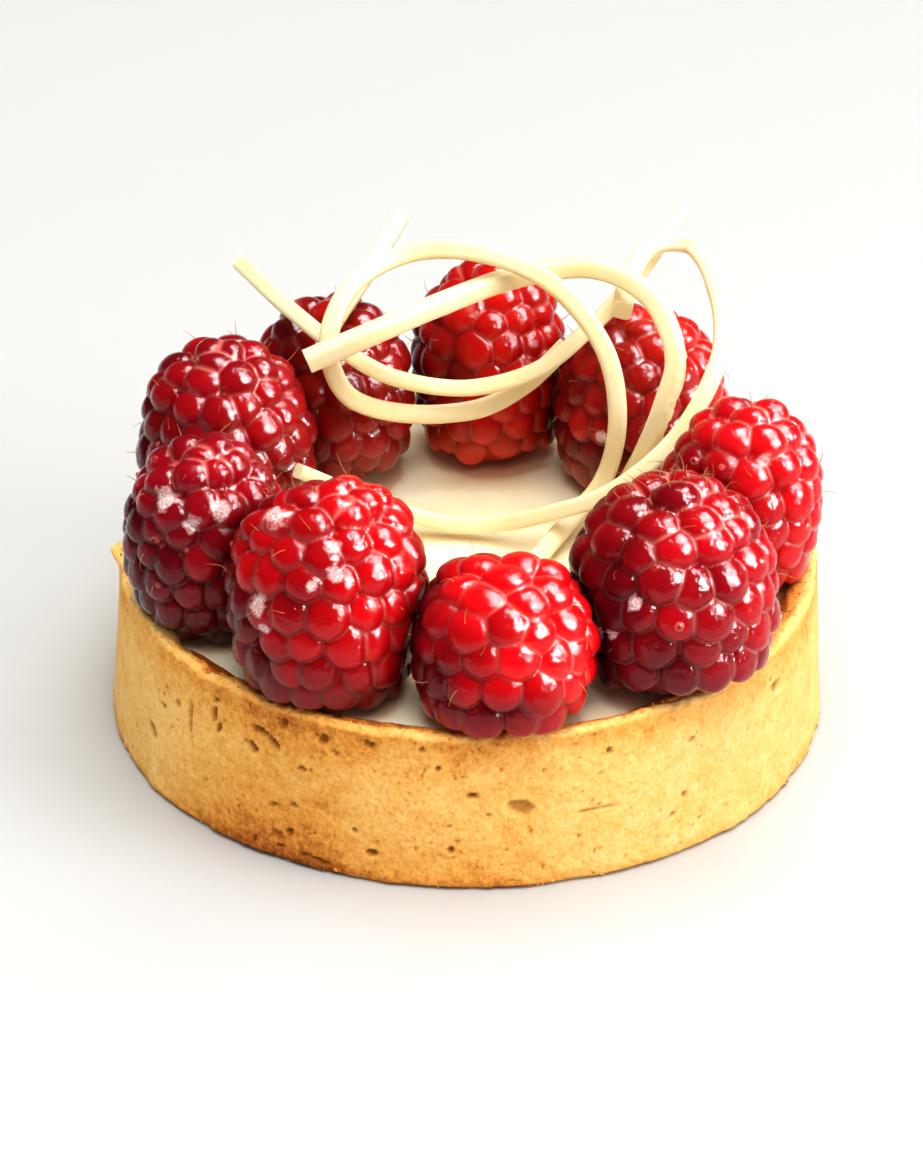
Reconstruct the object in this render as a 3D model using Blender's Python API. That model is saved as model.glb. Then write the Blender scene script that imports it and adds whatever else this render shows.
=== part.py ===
"""An individual raspberry tart, modelled in Blender at its real size.

A straight-sided shortcrust ring with a closed floor is filled with pale cream.  Nine raspberries
stand in a ring on the cream, and five strands of white chocolate curl over them.

Sizes below are in millimetres and are turned to metres where a mesh is made.  +Z is up, the origin
is the centre of the crust's base, and the side that is seen first faces -Y.  Angles run
anticlockwise from +X, in degrees.
"""

from dataclasses import dataclass
from math import cos, pi, radians, sin, tau

import bmesh
import bpy
import numpy as np
from mathutils import Matrix, Vector

MM = 0.001
GAP = 0.3                     # air kept between pieces that touch

# Crust
CRUST_BASE_RADIUS = 40.0
CRUST_RIM_RADIUS = 38.9
CRUST_HEIGHT = 18.3           # mean height of the crest of the rim
CRUST_FLOOR = 3.0             # thickness of the closed floor
CRUST_INNER_RADIUS = 36.3
SHOULDER_HEIGHT = 17.4        # inner edge of the browned shoulder of the rim
FOOT_HEIGHT = 0.5
FOOT_BEVEL = 0.5              # how far the very bottom edge is drawn in
BELLY_HEIGHT = 8.2            # height at which the wall is fullest
RIM_STRAIGHT = 2.2            # the wall runs up to this far under the crest
EDGE_DROP = 0.45              # the outer edge of the rim lies this far under the crest,
CREST_INSET = 0.6             # which is set in this far from the wall
SLOPE_INSET = 1.5             # where the rim's inward slope begins
SLOPE_DROP = 0.35

# Unevenness of the crust, as (size, waves round the crust, phase)
CREST_WAVES = ((0.14, 2, 0.6), (0.10, 5, 1.9), (0.08, 11, 0.3), (0.05, 23, 2.1))
EDGE_WAVES = ((0.10, 3, 1.2), (0.08, 8, 0.4), (0.05, 19, 0.0))
SHOULDER_WAVES = ((0.18, 4, 2.2), (0.12, 13, 0.8))
FOOT_WAVES = ((0.12, 7, 0.5), (0.10, 17, 1.1), (0.08, 31, 0.0))
BELLY_WAVES = ((0.07, 3, 2.0), (0.05, 9, 0.0))

# Filling
CREAM_LEVEL = 16.8
CREAM_WAVE = 0.08
CREAM_EDGE_ROUND = 0.6        # roundness of the cream's upper edge
CREAM_SEGMENTS = 60

# Raspberries
BERRY_BED = CREAM_LEVEL + CREAM_WAVE + GAP
BELLY_LEVEL = 0.45            # height of a berry's widest ring, as a share of its own height
DRUPELET_RISE = 0.56          # height of a drupelet's dome over the berry's core, per its size
DRUPELET_SPREAD = 0.60        # reach of a drupelet's dome from its middle, per its size
DRUPELET_FULLNESS = 2.4       # 2 is a round dome, more is a fuller one
DRUPELET_SIZES = (0.92, 1.10) # smallest and largest, as a share of the berry's usual drupelet
ROW_PITCH = 0.86              # distance between rows of drupelets, per drupelet
FIRST_ROW = 0.53              # distance from the tip to the first row, per drupelet
TURN_SLIP = (-0.17, 0.17)     # how far a drupelet is out of its even place in the row
ROW_SLIP = (-0.17, 0.17)      # and out of the row itself
FRONT = 270                   # the side where the rows are staggered best
LAST_ROW = 0.35               # height of the last row over the berry's foot, per drupelet
CORE_POWERS = (2.2, 2.7)      # roundness of the core above and below its widest ring
CORE_SKIRT = 0.8              # the core reaches this far below the foot, so that the foot is flat
BEAD_SHOULDER = 0.58          # where a bead's inner ring lies, from its middle to its edge
FINE_ABOVE = 0.15             # beads that face up more than this have an inner ring,
FINE_OUTSIDE = 0.45           # and so have those that face out of the tart more than this,
FINE_UNDER = -0.5             # down to the ones that face the cream

# White chocolate
STRAND_STEP = 2.5             # distance between a strand's cross-sections
STRAND_FACING = Vector((0.0, -0.87, 0.5))


@dataclass(frozen=True)
class RimMark:
    """A place where the rim of the crust stands out, folds in or is nicked."""

    angle: float
    half_width: float
    rise: float
    outward: float
    inward: float


RIM_MARKS = (
    RimMark(angle=181, half_width=4.0, rise=0.5, outward=1.0, inward=0.0),    # lip
    RimMark(angle=186, half_width=2.5, rise=-0.4, outward=-0.2, inward=0.0),  # tear beside the lip
    RimMark(angle=209, half_width=7.0, rise=-0.1, outward=0.0, inward=1.7),   # flap folded inwards
    RimMark(angle=223, half_width=1.8, rise=-0.7, outward=-0.2, inward=-0.4), # nick
    RimMark(angle=230, half_width=5.0, rise=0.1, outward=0.0, inward=0.5),    # thick shoulder
    RimMark(angle=237, half_width=1.8, rise=-0.5, outward=-0.2, inward=0.0),  # nick
    RimMark(angle=268, half_width=9.0, rise=-0.3, outward=0.1, inward=0.0),   # worn low stretch
    RimMark(angle=312, half_width=8.0, rise=-0.3, outward=0.0, inward=0.3),   # low under a berry
    RimMark(angle=350, half_width=9.0, rise=0.2, outward=0.0, inward=0.5),
    RimMark(angle=62, half_width=6.0, rise=0.35, outward=0.1, inward=0.3),
    RimMark(angle=118, half_width=3.0, rise=-0.5, outward=-0.1, inward=0.0),
)


@dataclass(frozen=True)
class Berry:
    """One raspberry: where it stands, how large it is and how it leans."""

    x: float
    y: float
    radius: float
    height: float
    lean: float
    lean_towards: float
    drupelet: float
    seed: int
    colour: tuple

    @property
    def middle(self):
        """The point inside the berry that its surface is measured from."""
        lift = self.height * BELLY_LEVEL
        return Vector((self.x, self.y, BERRY_BED)) + self.turn @ Vector((0, 0, lift))

    @property
    def turn(self):
        """The rotation that leans the berry's tip towards its side."""
        side = radians(self.lean_towards)
        return Matrix.Rotation(radians(self.lean), 3, Vector((-sin(side), cos(side), 0)))


BERRIES = (
    Berry(-26.5, 8.0, 10.0, 22.9, 4, 170, 3.9, 11, (0.26, 0.010, 0.018)),
    Berry(-27.7, -12.6, 9.1, 21.5, 3, 180, 3.6, 12, (0.22, 0.010, 0.022)),
    Berry(-14.8, -26.4, 10.8, 23.8, 5, 90, 4.0, 13, (0.46, 0.012, 0.016)),
    Berry(3.8, -32.2, 9.9, 17.8, 9, 90, 4.2, 14, (0.62, 0.018, 0.016)),
    Berry(22.3, -23.8, 11.2, 22.8, 6, 120, 4.1, 15, (0.36, 0.010, 0.018)),
    Berry(29.6, -2.0, 9.1, 21.3, 3, 0, 3.8, 16, (0.56, 0.020, 0.026)),
    Berry(19.3, 20.8, 10.0, 20.6, 3, 60, 3.9, 17, (0.24, 0.010, 0.016)),
    Berry(2.3, 27.4, 9.2, 23.3, 3, 90, 3.7, 18, (0.44, 0.014, 0.014)),
    Berry(-15.0, 21.8, 9.1, 21.6, 4, 160, 3.8, 19, (0.24, 0.010, 0.018)),
)


@dataclass(frozen=True)
class Strand:
    """One curled strand of white chocolate, square in section."""

    width: float
    end_width: float
    roll: float
    end_roll: float
    route: tuple


STRANDS = (
    # The long one that lies on the others, from its cut end over the middle and down on the right.
    Strand(2.4, 2.2, 32, 12, (
        (-18.0, 4.4, 39.7), (-11.0, 6.2, 42.3), (-3.5, 11.6, 43.3), (5.5, 17.6, 44.0),
        (14.0, 17.8, 45.0), (20.3, 13.6, 43.1), (22.8, 9.4, 37.9), (21.6, 7.8, 33.0),
        (19.9, 8.6, 27.2), (18.1, 9.8, 22.2))),
    # The upright loop that stands on the cream and leans back on the berries.
    Strand(2.1, 2.2, 0, 0, (
        (7.3, -2.8, 18.7), (11.6, 6.6, 19.1), (15.1, 8.8, 22.8), (16.5, 8.0, 31.6),
        (14.8, 10.0, 39.0), (9.0, 13.4, 45.1), (0.9, 16.0, 47.6), (-6.9, 16.2, 47.4),
        (-13.2, 12.4, 45.2), (-15.7, 8.0, 40.6), (-14.0, 9.0, 33.6), (-7.9, 13.2, 28.8),
        (1.2, 15.9, 28.1), (5.8, 16.4, 30.6), (8.6, 17.1, 33.0), (10.9, 17.9, 35.2))),
    # The strand that dips to the cream, then climbs on the right and hooks over to the back.
    Strand(1.7, 2.3, 0, 0, (
        (-18.9, 0.2, 28.3), (-8.8, 5.4, 20.9), (-0.4, 5.8, 18.4), (8.0, 3.6, 21.1),
        (15.9, 2.4, 25.0), (23.3, 6.2, 30.2), (27.9, 12.0, 37.3), (27.7, 21.6, 41.0),
        (25.0, 29.4, 42.5), (21.0, 28.6, 42.9), (17.9, 21.6, 42.0), (16.9, 15.8, 40.7))),
    # The shallow bow that lies on two of the back berries, its ends pointing away.
    Strand(1.9, 1.9, 0, 0, (
        (-26.7, 36.0, 36.0), (-20.7, 20.0, 38.5), (-14.8, 11.4, 38.0), (-9.0, 11.4, 34.4),
        (0.0, 13.2, 32.1), (7.9, 14.2, 34.2), (13.2, 16.4, 38.0), (17.9, 24.8, 39.2),
        (24.6, 40.3, 41.5))),
    # The short one at the back.
    Strand(2.0, 2.0, 0, 0, ((-8.2, 38.6, 41.3), (-12.2, 24.0, 40.5), (-15.3, 15.6, 39.0))),
)


def clear_scene():
    """Take every object out of the scene, so that the script can be run again."""
    for item in list(bpy.data.objects):
        bpy.data.objects.remove(item, do_unlink=True)


def make_material(name, colour, roughness, subsurface=0.0):
    """Make a plain material from a linear colour and a roughness."""
    material = bpy.data.materials.new(name)
    material.use_nodes = True
    shader = material.node_tree.nodes["Principled BSDF"]
    shader.inputs["Base Color"].default_value = (*colour, 1.0)
    shader.inputs["Roughness"].default_value = roughness
    shader.inputs["Metallic"].default_value = 0.0
    shader.inputs["Subsurface Weight"].default_value = subsurface
    material.diffuse_color = (*colour, 1.0)
    return material


def make_object(name, points, faces, material, smooth_angle):
    """Make a closed mesh object from points in millimetres, with its faces pointing out."""
    mesh = bpy.data.meshes.new(name)
    mesh.from_pydata([tuple(Vector(p) * MM) for p in points], [], faces)
    work = bmesh.new()
    work.from_mesh(mesh)
    bmesh.ops.recalc_face_normals(work, faces=work.faces)
    bmesh.ops.triangulate(work, faces=work.faces)
    work.to_mesh(mesh)
    work.free()
    mesh.materials.append(material)
    mesh.shade_smooth()
    mesh.set_sharp_from_angle(angle=radians(smooth_angle))
    piece = bpy.data.objects.new(name, mesh)
    bpy.context.collection.objects.link(piece)
    return piece


def ring_faces(rings, count):
    """Join closed rings of points, each with the same count, by quads."""
    faces = []
    for ring in range(rings - 1):
        low, high = ring * count, (ring + 1) * count
        for i in range(count):
            j = (i + 1) % count
            faces.append((low + i, low + j, high + j, high + i))
    return faces


def fan_faces(start, count, tip, upwards):
    """Close a ring of points with triangles to one point."""
    faces = []
    for i in range(count):
        j = (i + 1) % count
        faces.append((start + i, start + j, tip) if upwards else (start + j, start + i, tip))
    return faces


# ---------------------------------------------------------------- crust and cream

def mark_weight(mark, angle):
    """How strongly a rim mark is felt at an angle: 1 at its middle, 0 past its width."""
    away = abs((angle - mark.angle + 180) % 360 - 180) / mark.half_width
    return cos(away * pi / 2) ** 2 if away < 1 else 0.0


def ripple(turn, waves):
    """Sum of a few waves round the crust, at a turn in radians."""
    return sum(size * sin(count * turn + phase) for size, count, phase in waves)


def rim_shape(angle):
    """The rim at an angle: its height, how far out it stands and how thick its shoulder is."""
    turn = radians(angle)
    height = CRUST_HEIGHT + ripple(turn, CREST_WAVES)
    outward = ripple(turn, EDGE_WAVES)
    inward = ripple(turn, SHOULDER_WAVES)
    for mark in RIM_MARKS:
        weight = mark_weight(mark, angle)
        height += mark.rise * weight
        outward += mark.outward * weight
        inward += mark.inward * weight
    return height, outward, inward


def crust_angles():
    """Angles of the crust's sections, closer together where the rim is most broken."""
    broken_from, broken_to = 176.0, 242.0
    close = np.linspace(broken_from, broken_to, 37)[:-1]
    wide = np.linspace(broken_to, broken_from + 360, 65)[:-1]
    return np.concatenate([close, wide])


def crust_section(angle):
    """One section of the crust, from the edge of its base, over the rim and down to its floor."""
    turn = radians(angle)
    height, outward, inward = rim_shape(angle)
    foot = CRUST_BASE_RADIUS + ripple(turn, FOOT_WAVES)
    belly = ripple(turn, BELLY_WAVES)
    share = BELLY_HEIGHT / CRUST_HEIGHT
    middle = CRUST_BASE_RADIUS * (1 - share) + CRUST_RIM_RADIUS * share
    edge = CRUST_RIM_RADIUS + outward
    return (
        (foot - FOOT_BEVEL, 0.0),
        (foot, FOOT_HEIGHT),
        (middle + belly, BELLY_HEIGHT),
        (CRUST_RIM_RADIUS + belly, CRUST_HEIGHT - RIM_STRAIGHT),
        (edge - 0.1, height - EDGE_DROP),
        (edge - CREST_INSET, height),
        (CRUST_RIM_RADIUS - SLOPE_INSET - 0.4 * inward, height - SLOPE_DROP),
        (CRUST_INNER_RADIUS - max(inward, -0.2), SHOULDER_HEIGHT + 0.1 * inward),
        (CRUST_INNER_RADIUS, CREAM_LEVEL + CREAM_WAVE + GAP),
        (CRUST_INNER_RADIUS, CRUST_FLOOR),
    )


def build_crust(material):
    """Build the shortcrust case: wall, uneven rim and closed floor."""
    angles = crust_angles()
    sections = [crust_section(angle) for angle in angles]
    rings = len(sections[0])
    points = []
    for ring in range(rings):
        for angle, section in zip(angles, sections):
            radius, height = section[ring]
            points.append((radius * cos(radians(angle)), radius * sin(radians(angle)), height))
    faces = ring_faces(rings, len(angles))
    points.append((0.0, 0.0, 0.0))
    faces += fan_faces(0, len(angles), len(points) - 1, upwards=False)
    points.append((0.0, 0.0, CRUST_FLOOR))
    faces += fan_faces((rings - 1) * len(angles), len(angles), len(points) - 1, upwards=True)
    return make_object("crust", points, faces, material, 40)


def build_filling(material):
    """Build the cream that fills the crust up to just below its rim."""
    count = CREAM_SEGMENTS
    edge = CRUST_INNER_RADIUS - GAP - 0.05
    rings = (
        (edge, CRUST_FLOOR + GAP),
        (edge, CREAM_LEVEL - CREAM_EDGE_ROUND),
        (edge - CREAM_EDGE_ROUND, CREAM_LEVEL),
        (edge / 2, CREAM_LEVEL),
    )
    points = []
    for ring, (radius, height) in enumerate(rings):
        for i in range(count):
            turn = tau * i / count
            wave = CREAM_WAVE * sin(3 * turn + ring) if ring > 1 else 0.0
            points.append((radius * cos(turn), radius * sin(turn), height + wave))
    faces = ring_faces(len(rings), count)
    points.append((0.0, 0.0, CRUST_FLOOR + GAP))
    faces += fan_faces(0, count, len(points) - 1, upwards=False)
    points.append((0.0, 0.0, CREAM_LEVEL))
    faces += fan_faces((len(rings) - 1) * count, count, len(points) - 1, upwards=True)
    return make_object("filling", points, faces, material, 40)


# ---------------------------------------------------------------- raspberries

def core_reach(berry, ways):
    """Distance from the berry's middle to its core, for rows of unit directions."""
    rise = DRUPELET_RISE * berry.drupelet
    across = berry.radius - rise
    top = berry.height * (1 - BELLY_LEVEL) - rise
    bottom = berry.height * BELLY_LEVEL + CORE_SKIRT
    sideways = np.hypot(ways[:, 0], ways[:, 1])
    tall = np.where(ways[:, 2] > 0, top, bottom)
    power = np.where(ways[:, 2] > 0, *CORE_POWERS)
    return ((sideways / across) ** power + (np.abs(ways[:, 2]) / tall) ** power) ** (-1 / power)


def drupelet_layout(berry):
    """Middles of the drupelets as unit directions, in staggered rows from the tip down."""
    draw = np.random.default_rng(berry.seed)
    tilt_steps = np.linspace(0, pi, 400)
    ways = np.stack([np.sin(tilt_steps), 0 * tilt_steps, np.cos(tilt_steps)], axis=1)
    outline = ways * (core_reach(berry, ways) + DRUPELET_RISE * berry.drupelet * 0.7)[:, None]
    lengths = np.concatenate([[0], np.cumsum(np.linalg.norm(np.diff(outline, axis=0), axis=1))])
    row_step = berry.drupelet * ROW_PITCH
    along = berry.drupelet * FIRST_ROW
    placed = []
    row = 0
    while True:
        tilt = np.interp(along, lengths, tilt_steps)
        belt = np.interp(tilt, tilt_steps, outline[:, 0])
        below = np.interp(tilt, tilt_steps, outline[:, 2])
        if below < -berry.height * BELLY_LEVEL + LAST_ROW * berry.drupelet:
            break
        count = max(3, round(tau * belt / berry.drupelet))
        start = row % 2 / 2 + draw.uniform(-0.1, 0.1)
        for i in range(count):
            turn = radians(FRONT) + tau * (start + i + draw.uniform(*TURN_SLIP)) / count
            slip = tilt + draw.uniform(*ROW_SLIP) * row_step / max(belt, row_step)
            placed.append((sin(slip) * cos(turn), sin(slip) * sin(turn), cos(slip)))
        along += row_step * draw.uniform(0.94, 1.06)
        row += 1
    sizes = berry.drupelet * draw.uniform(*DRUPELET_SIZES, len(placed))
    return np.array(placed), sizes


def berry_reach(berry, ways, placed, sizes):
    """Distance from the berry's middle to its drupelet surface, for rows of unit directions."""
    core = core_reach(berry, ways)
    middles = placed * core_reach(berry, placed)[:, None]
    apart = np.linalg.norm((ways * core[:, None])[:, None] - middles[None], axis=2)
    share = np.clip(apart / (DRUPELET_SPREAD * sizes), 0, 1)
    domes = DRUPELET_RISE * sizes * np.sqrt(1 - share ** DRUPELET_FULLNESS)
    return core + domes.max(axis=1)


def flat_limits(berry):
    """Planes that a berry is pressed flat against: the cream and its nearest neighbours."""
    limits = [(np.array((0.0, 0.0, -1.0)), -BERRY_BED)]
    here = np.array(berry.middle)
    for other in BERRIES:
        there = np.array(other.middle)
        between = there - here
        distance = np.linalg.norm(between)
        if other is berry or distance > 1.25 * (berry.radius + other.radius):
            continue
        towards = between / distance
        meet = here + between * berry.radius / (berry.radius + other.radius)
        limits.append((towards, float(towards @ meet) - GAP / 2))
    return limits


def rim_limits():
    """Rings of crust that a berry rests on: outside each radius it stays above a height."""
    clear = GAP + 0.2
    return (
        (CRUST_INNER_RADIUS - 1.8 - clear, SHOULDER_HEIGHT + 0.3 + clear),
        (CRUST_RIM_RADIUS - 1.9 - clear, CRUST_HEIGHT + 0.35 + clear),
    )


def press(berry, ways, reach):
    """Shorten the reach of a berry's surface where something it touches is in the way."""
    here = np.array(berry.middle)
    for towards, limit in flat_limits(berry):
        facing = ways @ towards
        room = np.full(len(ways), np.inf)
        room[facing > 1e-6] = (limit - here @ towards) / facing[facing > 1e-6]
        reach = np.minimum(reach, room)
    flat_here = here[:2]
    for radius, height in rim_limits():
        square = (ways[:, :2] ** 2).sum(axis=1)
        along = ways[:, :2] @ flat_here
        root = np.sqrt(np.maximum(along ** 2 + square * (radius ** 2 - flat_here @ flat_here), 0))
        out = (root - along) / np.maximum(square, 1e-9)
        down = np.full(len(ways), np.inf)
        falling = ways[:, 2] < -1e-6
        down[falling] = (here[2] - height) / -ways[falling, 2]
        reach = np.minimum(reach, np.maximum(out, down))
    return reach


def hull_triangles(ways):
    """Triangles between neighbouring directions, each listed anticlockwise seen from outside."""
    work = bmesh.new()
    verts = [work.verts.new(Vector(way)) for way in ways]
    order = {vert: i for i, vert in enumerate(verts)}
    bmesh.ops.convex_hull(work, input=verts)
    bmesh.ops.triangulate(work, faces=work.faces)
    triangles = []
    for face in work.faces:
        a, b, c = (order[vert] for vert in face.verts)
        outwards = Vector(np.cross(ways[b] - ways[a], ways[c] - ways[a])).dot(Vector(ways[a]))
        triangles.append((a, b, c) if outwards > 0 else (a, c, b))
    work.free()
    return triangles


def cells_of(triangles):
    """The triangles round each direction, in order."""
    following = {}
    for number, (a, b, c) in enumerate(triangles):
        for here, first, second in ((a, b, c), (b, c, a), (c, a, b)):
            following.setdefault(here, {})[first] = (second, number)
    cells = {}
    for here, steps in following.items():
        start = min(steps)
        walk, first = [], start
        while True:
            first, number = steps[first]
            walk.append(number)
            if first == start:
                break
        cells[here] = walk
    return cells


def build_berry(number, berry, material):
    """Build a raspberry whose every drupelet is a raised, faceted bead."""
    placed, sizes = drupelet_layout(berry)
    foot = np.array([[0.0, 0.0, -1.0]])
    seeds = np.vstack([placed, foot])
    triangles = hull_triangles(seeds)
    cells = cells_of(triangles)
    ways = list(seeds)
    corners = {}
    for index, (a, b, c) in enumerate(triangles):
        corners[index] = len(ways)
        ways.append(seeds[a] + seeds[b] + seeds[c])
    faces = []
    turn = np.array(berry.turn)
    outwards = np.array((berry.x, berry.y, 0.0)) / np.hypot(berry.x, berry.y)
    for here, walk in cells.items():
        ring = [corners[index] for index in walk]
        facing = turn @ seeds[here]
        fine = facing[2] > FINE_ABOVE or facing @ outwards > FINE_OUTSIDE
        if not fine or facing[2] < FINE_UNDER:
            faces += [(here, ring[i], ring[(i + 1) % len(ring)]) for i in range(len(ring))]
            continue
        inner = []
        for corner in ring:
            inner.append(len(ways))
            corner_way = ways[corner] / np.linalg.norm(ways[corner])
            ways.append(seeds[here] * (1 - BEAD_SHOULDER) + corner_way * BEAD_SHOULDER)
        for i in range(len(ring)):
            j = (i + 1) % len(ring)
            faces.append((here, inner[i], inner[j]))
            faces.append((inner[i], ring[i], ring[j]))
            faces.append((inner[i], ring[j], inner[j]))
    ways = np.array(ways)
    ways /= np.linalg.norm(ways, axis=1)[:, None]
    reach = berry_reach(berry, ways, placed, sizes)
    world_ways = ways @ turn.T
    reach = press(berry, world_ways, reach)
    points = np.array(berry.middle) + world_ways * reach[:, None]
    return make_object(f"raspberry_{number}", points, faces, material, 20)


# ---------------------------------------------------------------- white chocolate

def smooth_route(route, step):
    """Points at even steps along a centripetal Catmull-Rom curve through the route's points."""
    knots = [Vector(p) for p in route]
    knots = [2 * knots[0] - knots[1], *knots, 2 * knots[-1] - knots[-2]]
    dense = []
    for before, start, end, after in zip(knots, knots[1:], knots[2:], knots[3:]):
        gaps = [(b - a).length ** 0.5 for a, b in ((before, start), (start, end), (end, after))]
        slope_in = (start - before) / gaps[0] - (end - before) / (gaps[0] + gaps[1])
        slope_in = (slope_in + (end - start) / gaps[1]) * gaps[1]
        slope_out = (end - start) / gaps[1] - (after - start) / (gaps[1] + gaps[2])
        slope_out = (slope_out + (after - end) / gaps[2]) * gaps[1]
        for i in range(24):
            t = i / 24
            dense.append(start * (2 * t ** 3 - 3 * t ** 2 + 1) + slope_in * (t ** 3 - 2 * t ** 2 + t)
                         + end * (3 * t ** 2 - 2 * t ** 3) + slope_out * (t ** 3 - t ** 2))
    dense.append(knots[-2])
    dense = np.array(dense)
    lengths = np.concatenate([[0], np.cumsum(np.linalg.norm(np.diff(dense, axis=0), axis=1))])
    count = max(2, round(lengths[-1] / step))
    marks = np.linspace(0, lengths[-1], count + 1)
    return [Vector([np.interp(m, lengths, dense[:, axis]) for axis in range(3)]) for m in marks]


def build_strand(number, strand, material):
    """Build a square strand along its route, with flat cut ends."""
    path = smooth_route(strand.route, STRAND_STEP)
    points = []
    for i, middle in enumerate(path):
        along = (path[min(i + 1, len(path) - 1)] - path[max(i - 1, 0)]).normalized()
        share = i / (len(path) - 1)
        roll = radians(strand.roll + (strand.end_roll - strand.roll) * share)
        half = (strand.width + (strand.end_width - strand.width) * share) / 2
        front = (STRAND_FACING - along * STRAND_FACING.dot(along)).normalized()
        front.rotate(Matrix.Rotation(roll, 3, along))
        side = along.cross(front)
        for a, b in ((-1, -1), (1, -1), (1, 1), (-1, 1)):
            points.append(middle + side * half * a + front * half * b)
    faces = ring_faces(len(path), 4)
    last = len(points) - 4
    faces += [(3, 2, 1, 0), (last, last + 1, last + 2, last + 3)]
    return make_object(f"chocolate_curl_{number}", points, faces, material, 30)


def main():
    """Build every piece of the tart."""
    clear_scene()
    build_crust(make_material("baked_shortcrust", (0.62, 0.36, 0.13), 0.75))
    build_filling(make_material("pale_cream", (0.90, 0.78, 0.55), 0.35, subsurface=0.1))
    for number, berry in enumerate(BERRIES, start=1):
        flesh = make_material(f"raspberry_flesh_{number}", berry.colour, 0.22, subsurface=0.15)
        build_berry(number, berry, flesh)
    chocolate = make_material("white_chocolate", (0.92, 0.82, 0.55), 0.40, subsurface=0.1)
    for number, strand in enumerate(STRANDS, start=1):
        build_strand(number, strand, chocolate)


main()
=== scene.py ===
"""The looks of an individual raspberry tart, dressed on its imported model.

A straight-sided shortcrust ring holds set cream, a ring of nine glazed raspberries and five curled
strands of white chocolate.  Sizes are in millimetres and are turned to metres where a mesh is
made.  +Z is up, the origin is the centre of the crust's base, and the side seen first faces -Y.
Angles run anticlockwise from +X, in degrees.
"""

from __future__ import annotations

import itertools
import logging
from dataclasses import dataclass, field
from enum import Enum
from math import cos, pi, radians, sin, tau
from typing import Any, Iterable, Sequence

import bmesh
import bpy
import numpy as np
from mathutils import Matrix, Vector

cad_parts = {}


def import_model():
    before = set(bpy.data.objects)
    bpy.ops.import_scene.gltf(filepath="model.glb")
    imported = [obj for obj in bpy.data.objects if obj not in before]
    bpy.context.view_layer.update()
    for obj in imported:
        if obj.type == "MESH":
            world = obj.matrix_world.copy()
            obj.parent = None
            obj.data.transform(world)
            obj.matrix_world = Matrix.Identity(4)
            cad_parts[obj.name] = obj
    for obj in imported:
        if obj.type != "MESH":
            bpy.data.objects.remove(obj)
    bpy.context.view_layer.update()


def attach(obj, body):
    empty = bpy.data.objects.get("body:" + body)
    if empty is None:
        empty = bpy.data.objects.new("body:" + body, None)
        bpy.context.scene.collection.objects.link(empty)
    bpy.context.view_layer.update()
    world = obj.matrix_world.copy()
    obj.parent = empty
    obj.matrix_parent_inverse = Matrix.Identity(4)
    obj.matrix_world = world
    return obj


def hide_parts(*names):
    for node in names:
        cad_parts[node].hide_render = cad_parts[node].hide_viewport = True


LOG = logging.getLogger("raspberry_tart")

MM = 0.001                   # a millimetre in metres
GAP = 0.3                    # room between pieces that lie on each other
BODY = "root"                # the tart is one rigid body

CREAM_TOP = 16.8             # level of the cream
CREAM_WAVE = 0.08            # how far its surface wanders from that
BERRY_BED = CREAM_TOP + CREAM_WAVE + GAP


class Slot(Enum):
    """The record's material slots."""

    CRUST = "crust"
    CREAM = "cream"
    RASPBERRY = "raspberry"
    CHOCOLATE = "white_chocolate"


# ---------------------------------------------------------------- colour, nodes and meshes

def linear(hex_colour: str) -> tuple[float, float, float, float]:
    """Turn an sRGB hex colour to linear light.

    Args:
        hex_colour: The colour as "#RRGGBB".

    Returns:
        Red, green, blue and an alpha of 1.
    """
    channels = [int(hex_colour[i:i + 2], 16) / 255 for i in (1, 3, 5)]
    light = [c / 12.92 if c <= 0.04045 else ((c + 0.055) / 1.055) ** 2.4 for c in channels]
    return (light[0], light[1], light[2], 1.0)


def per_size(size: float) -> float:
    """The scale that gives a texture features of a size in millimetres."""
    return 1.0 / (size * MM)


def add_node(tree: bpy.types.NodeTree, kind: str, settings: dict[str, Any] | None = None,
             inputs: dict[str | int, Any] | None = None) -> bpy.types.Node:
    """Add a node to a tree, with its settings and the values or links of its sockets.

    Args:
        tree: The node tree to add to.
        kind: The node's type name.
        settings: Properties of the node itself.
        inputs: For each input socket, by name or index, a value or an output socket to link.

    Returns:
        The new node.
    """
    node = tree.nodes.new(kind)
    for name, value in (settings or {}).items():
        setattr(node, name, value)
    for key, value in (inputs or {}).items():
        if isinstance(value, bpy.types.NodeSocket):
            tree.links.new(value, node.inputs[key])
        else:
            node.inputs[key].default_value = value
    return node


def new_material(name: str) -> tuple[bpy.types.Material, bpy.types.NodeTree, bpy.types.Node]:
    """Make an empty material.

    Args:
        name: The material's name.

    Returns:
        The material, its node tree and its output node.
    """
    material = bpy.data.materials.new(name)
    material.use_nodes = True
    tree = material.node_tree
    tree.nodes.clear()
    return material, tree, add_node(tree, "ShaderNodeOutputMaterial")


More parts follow.
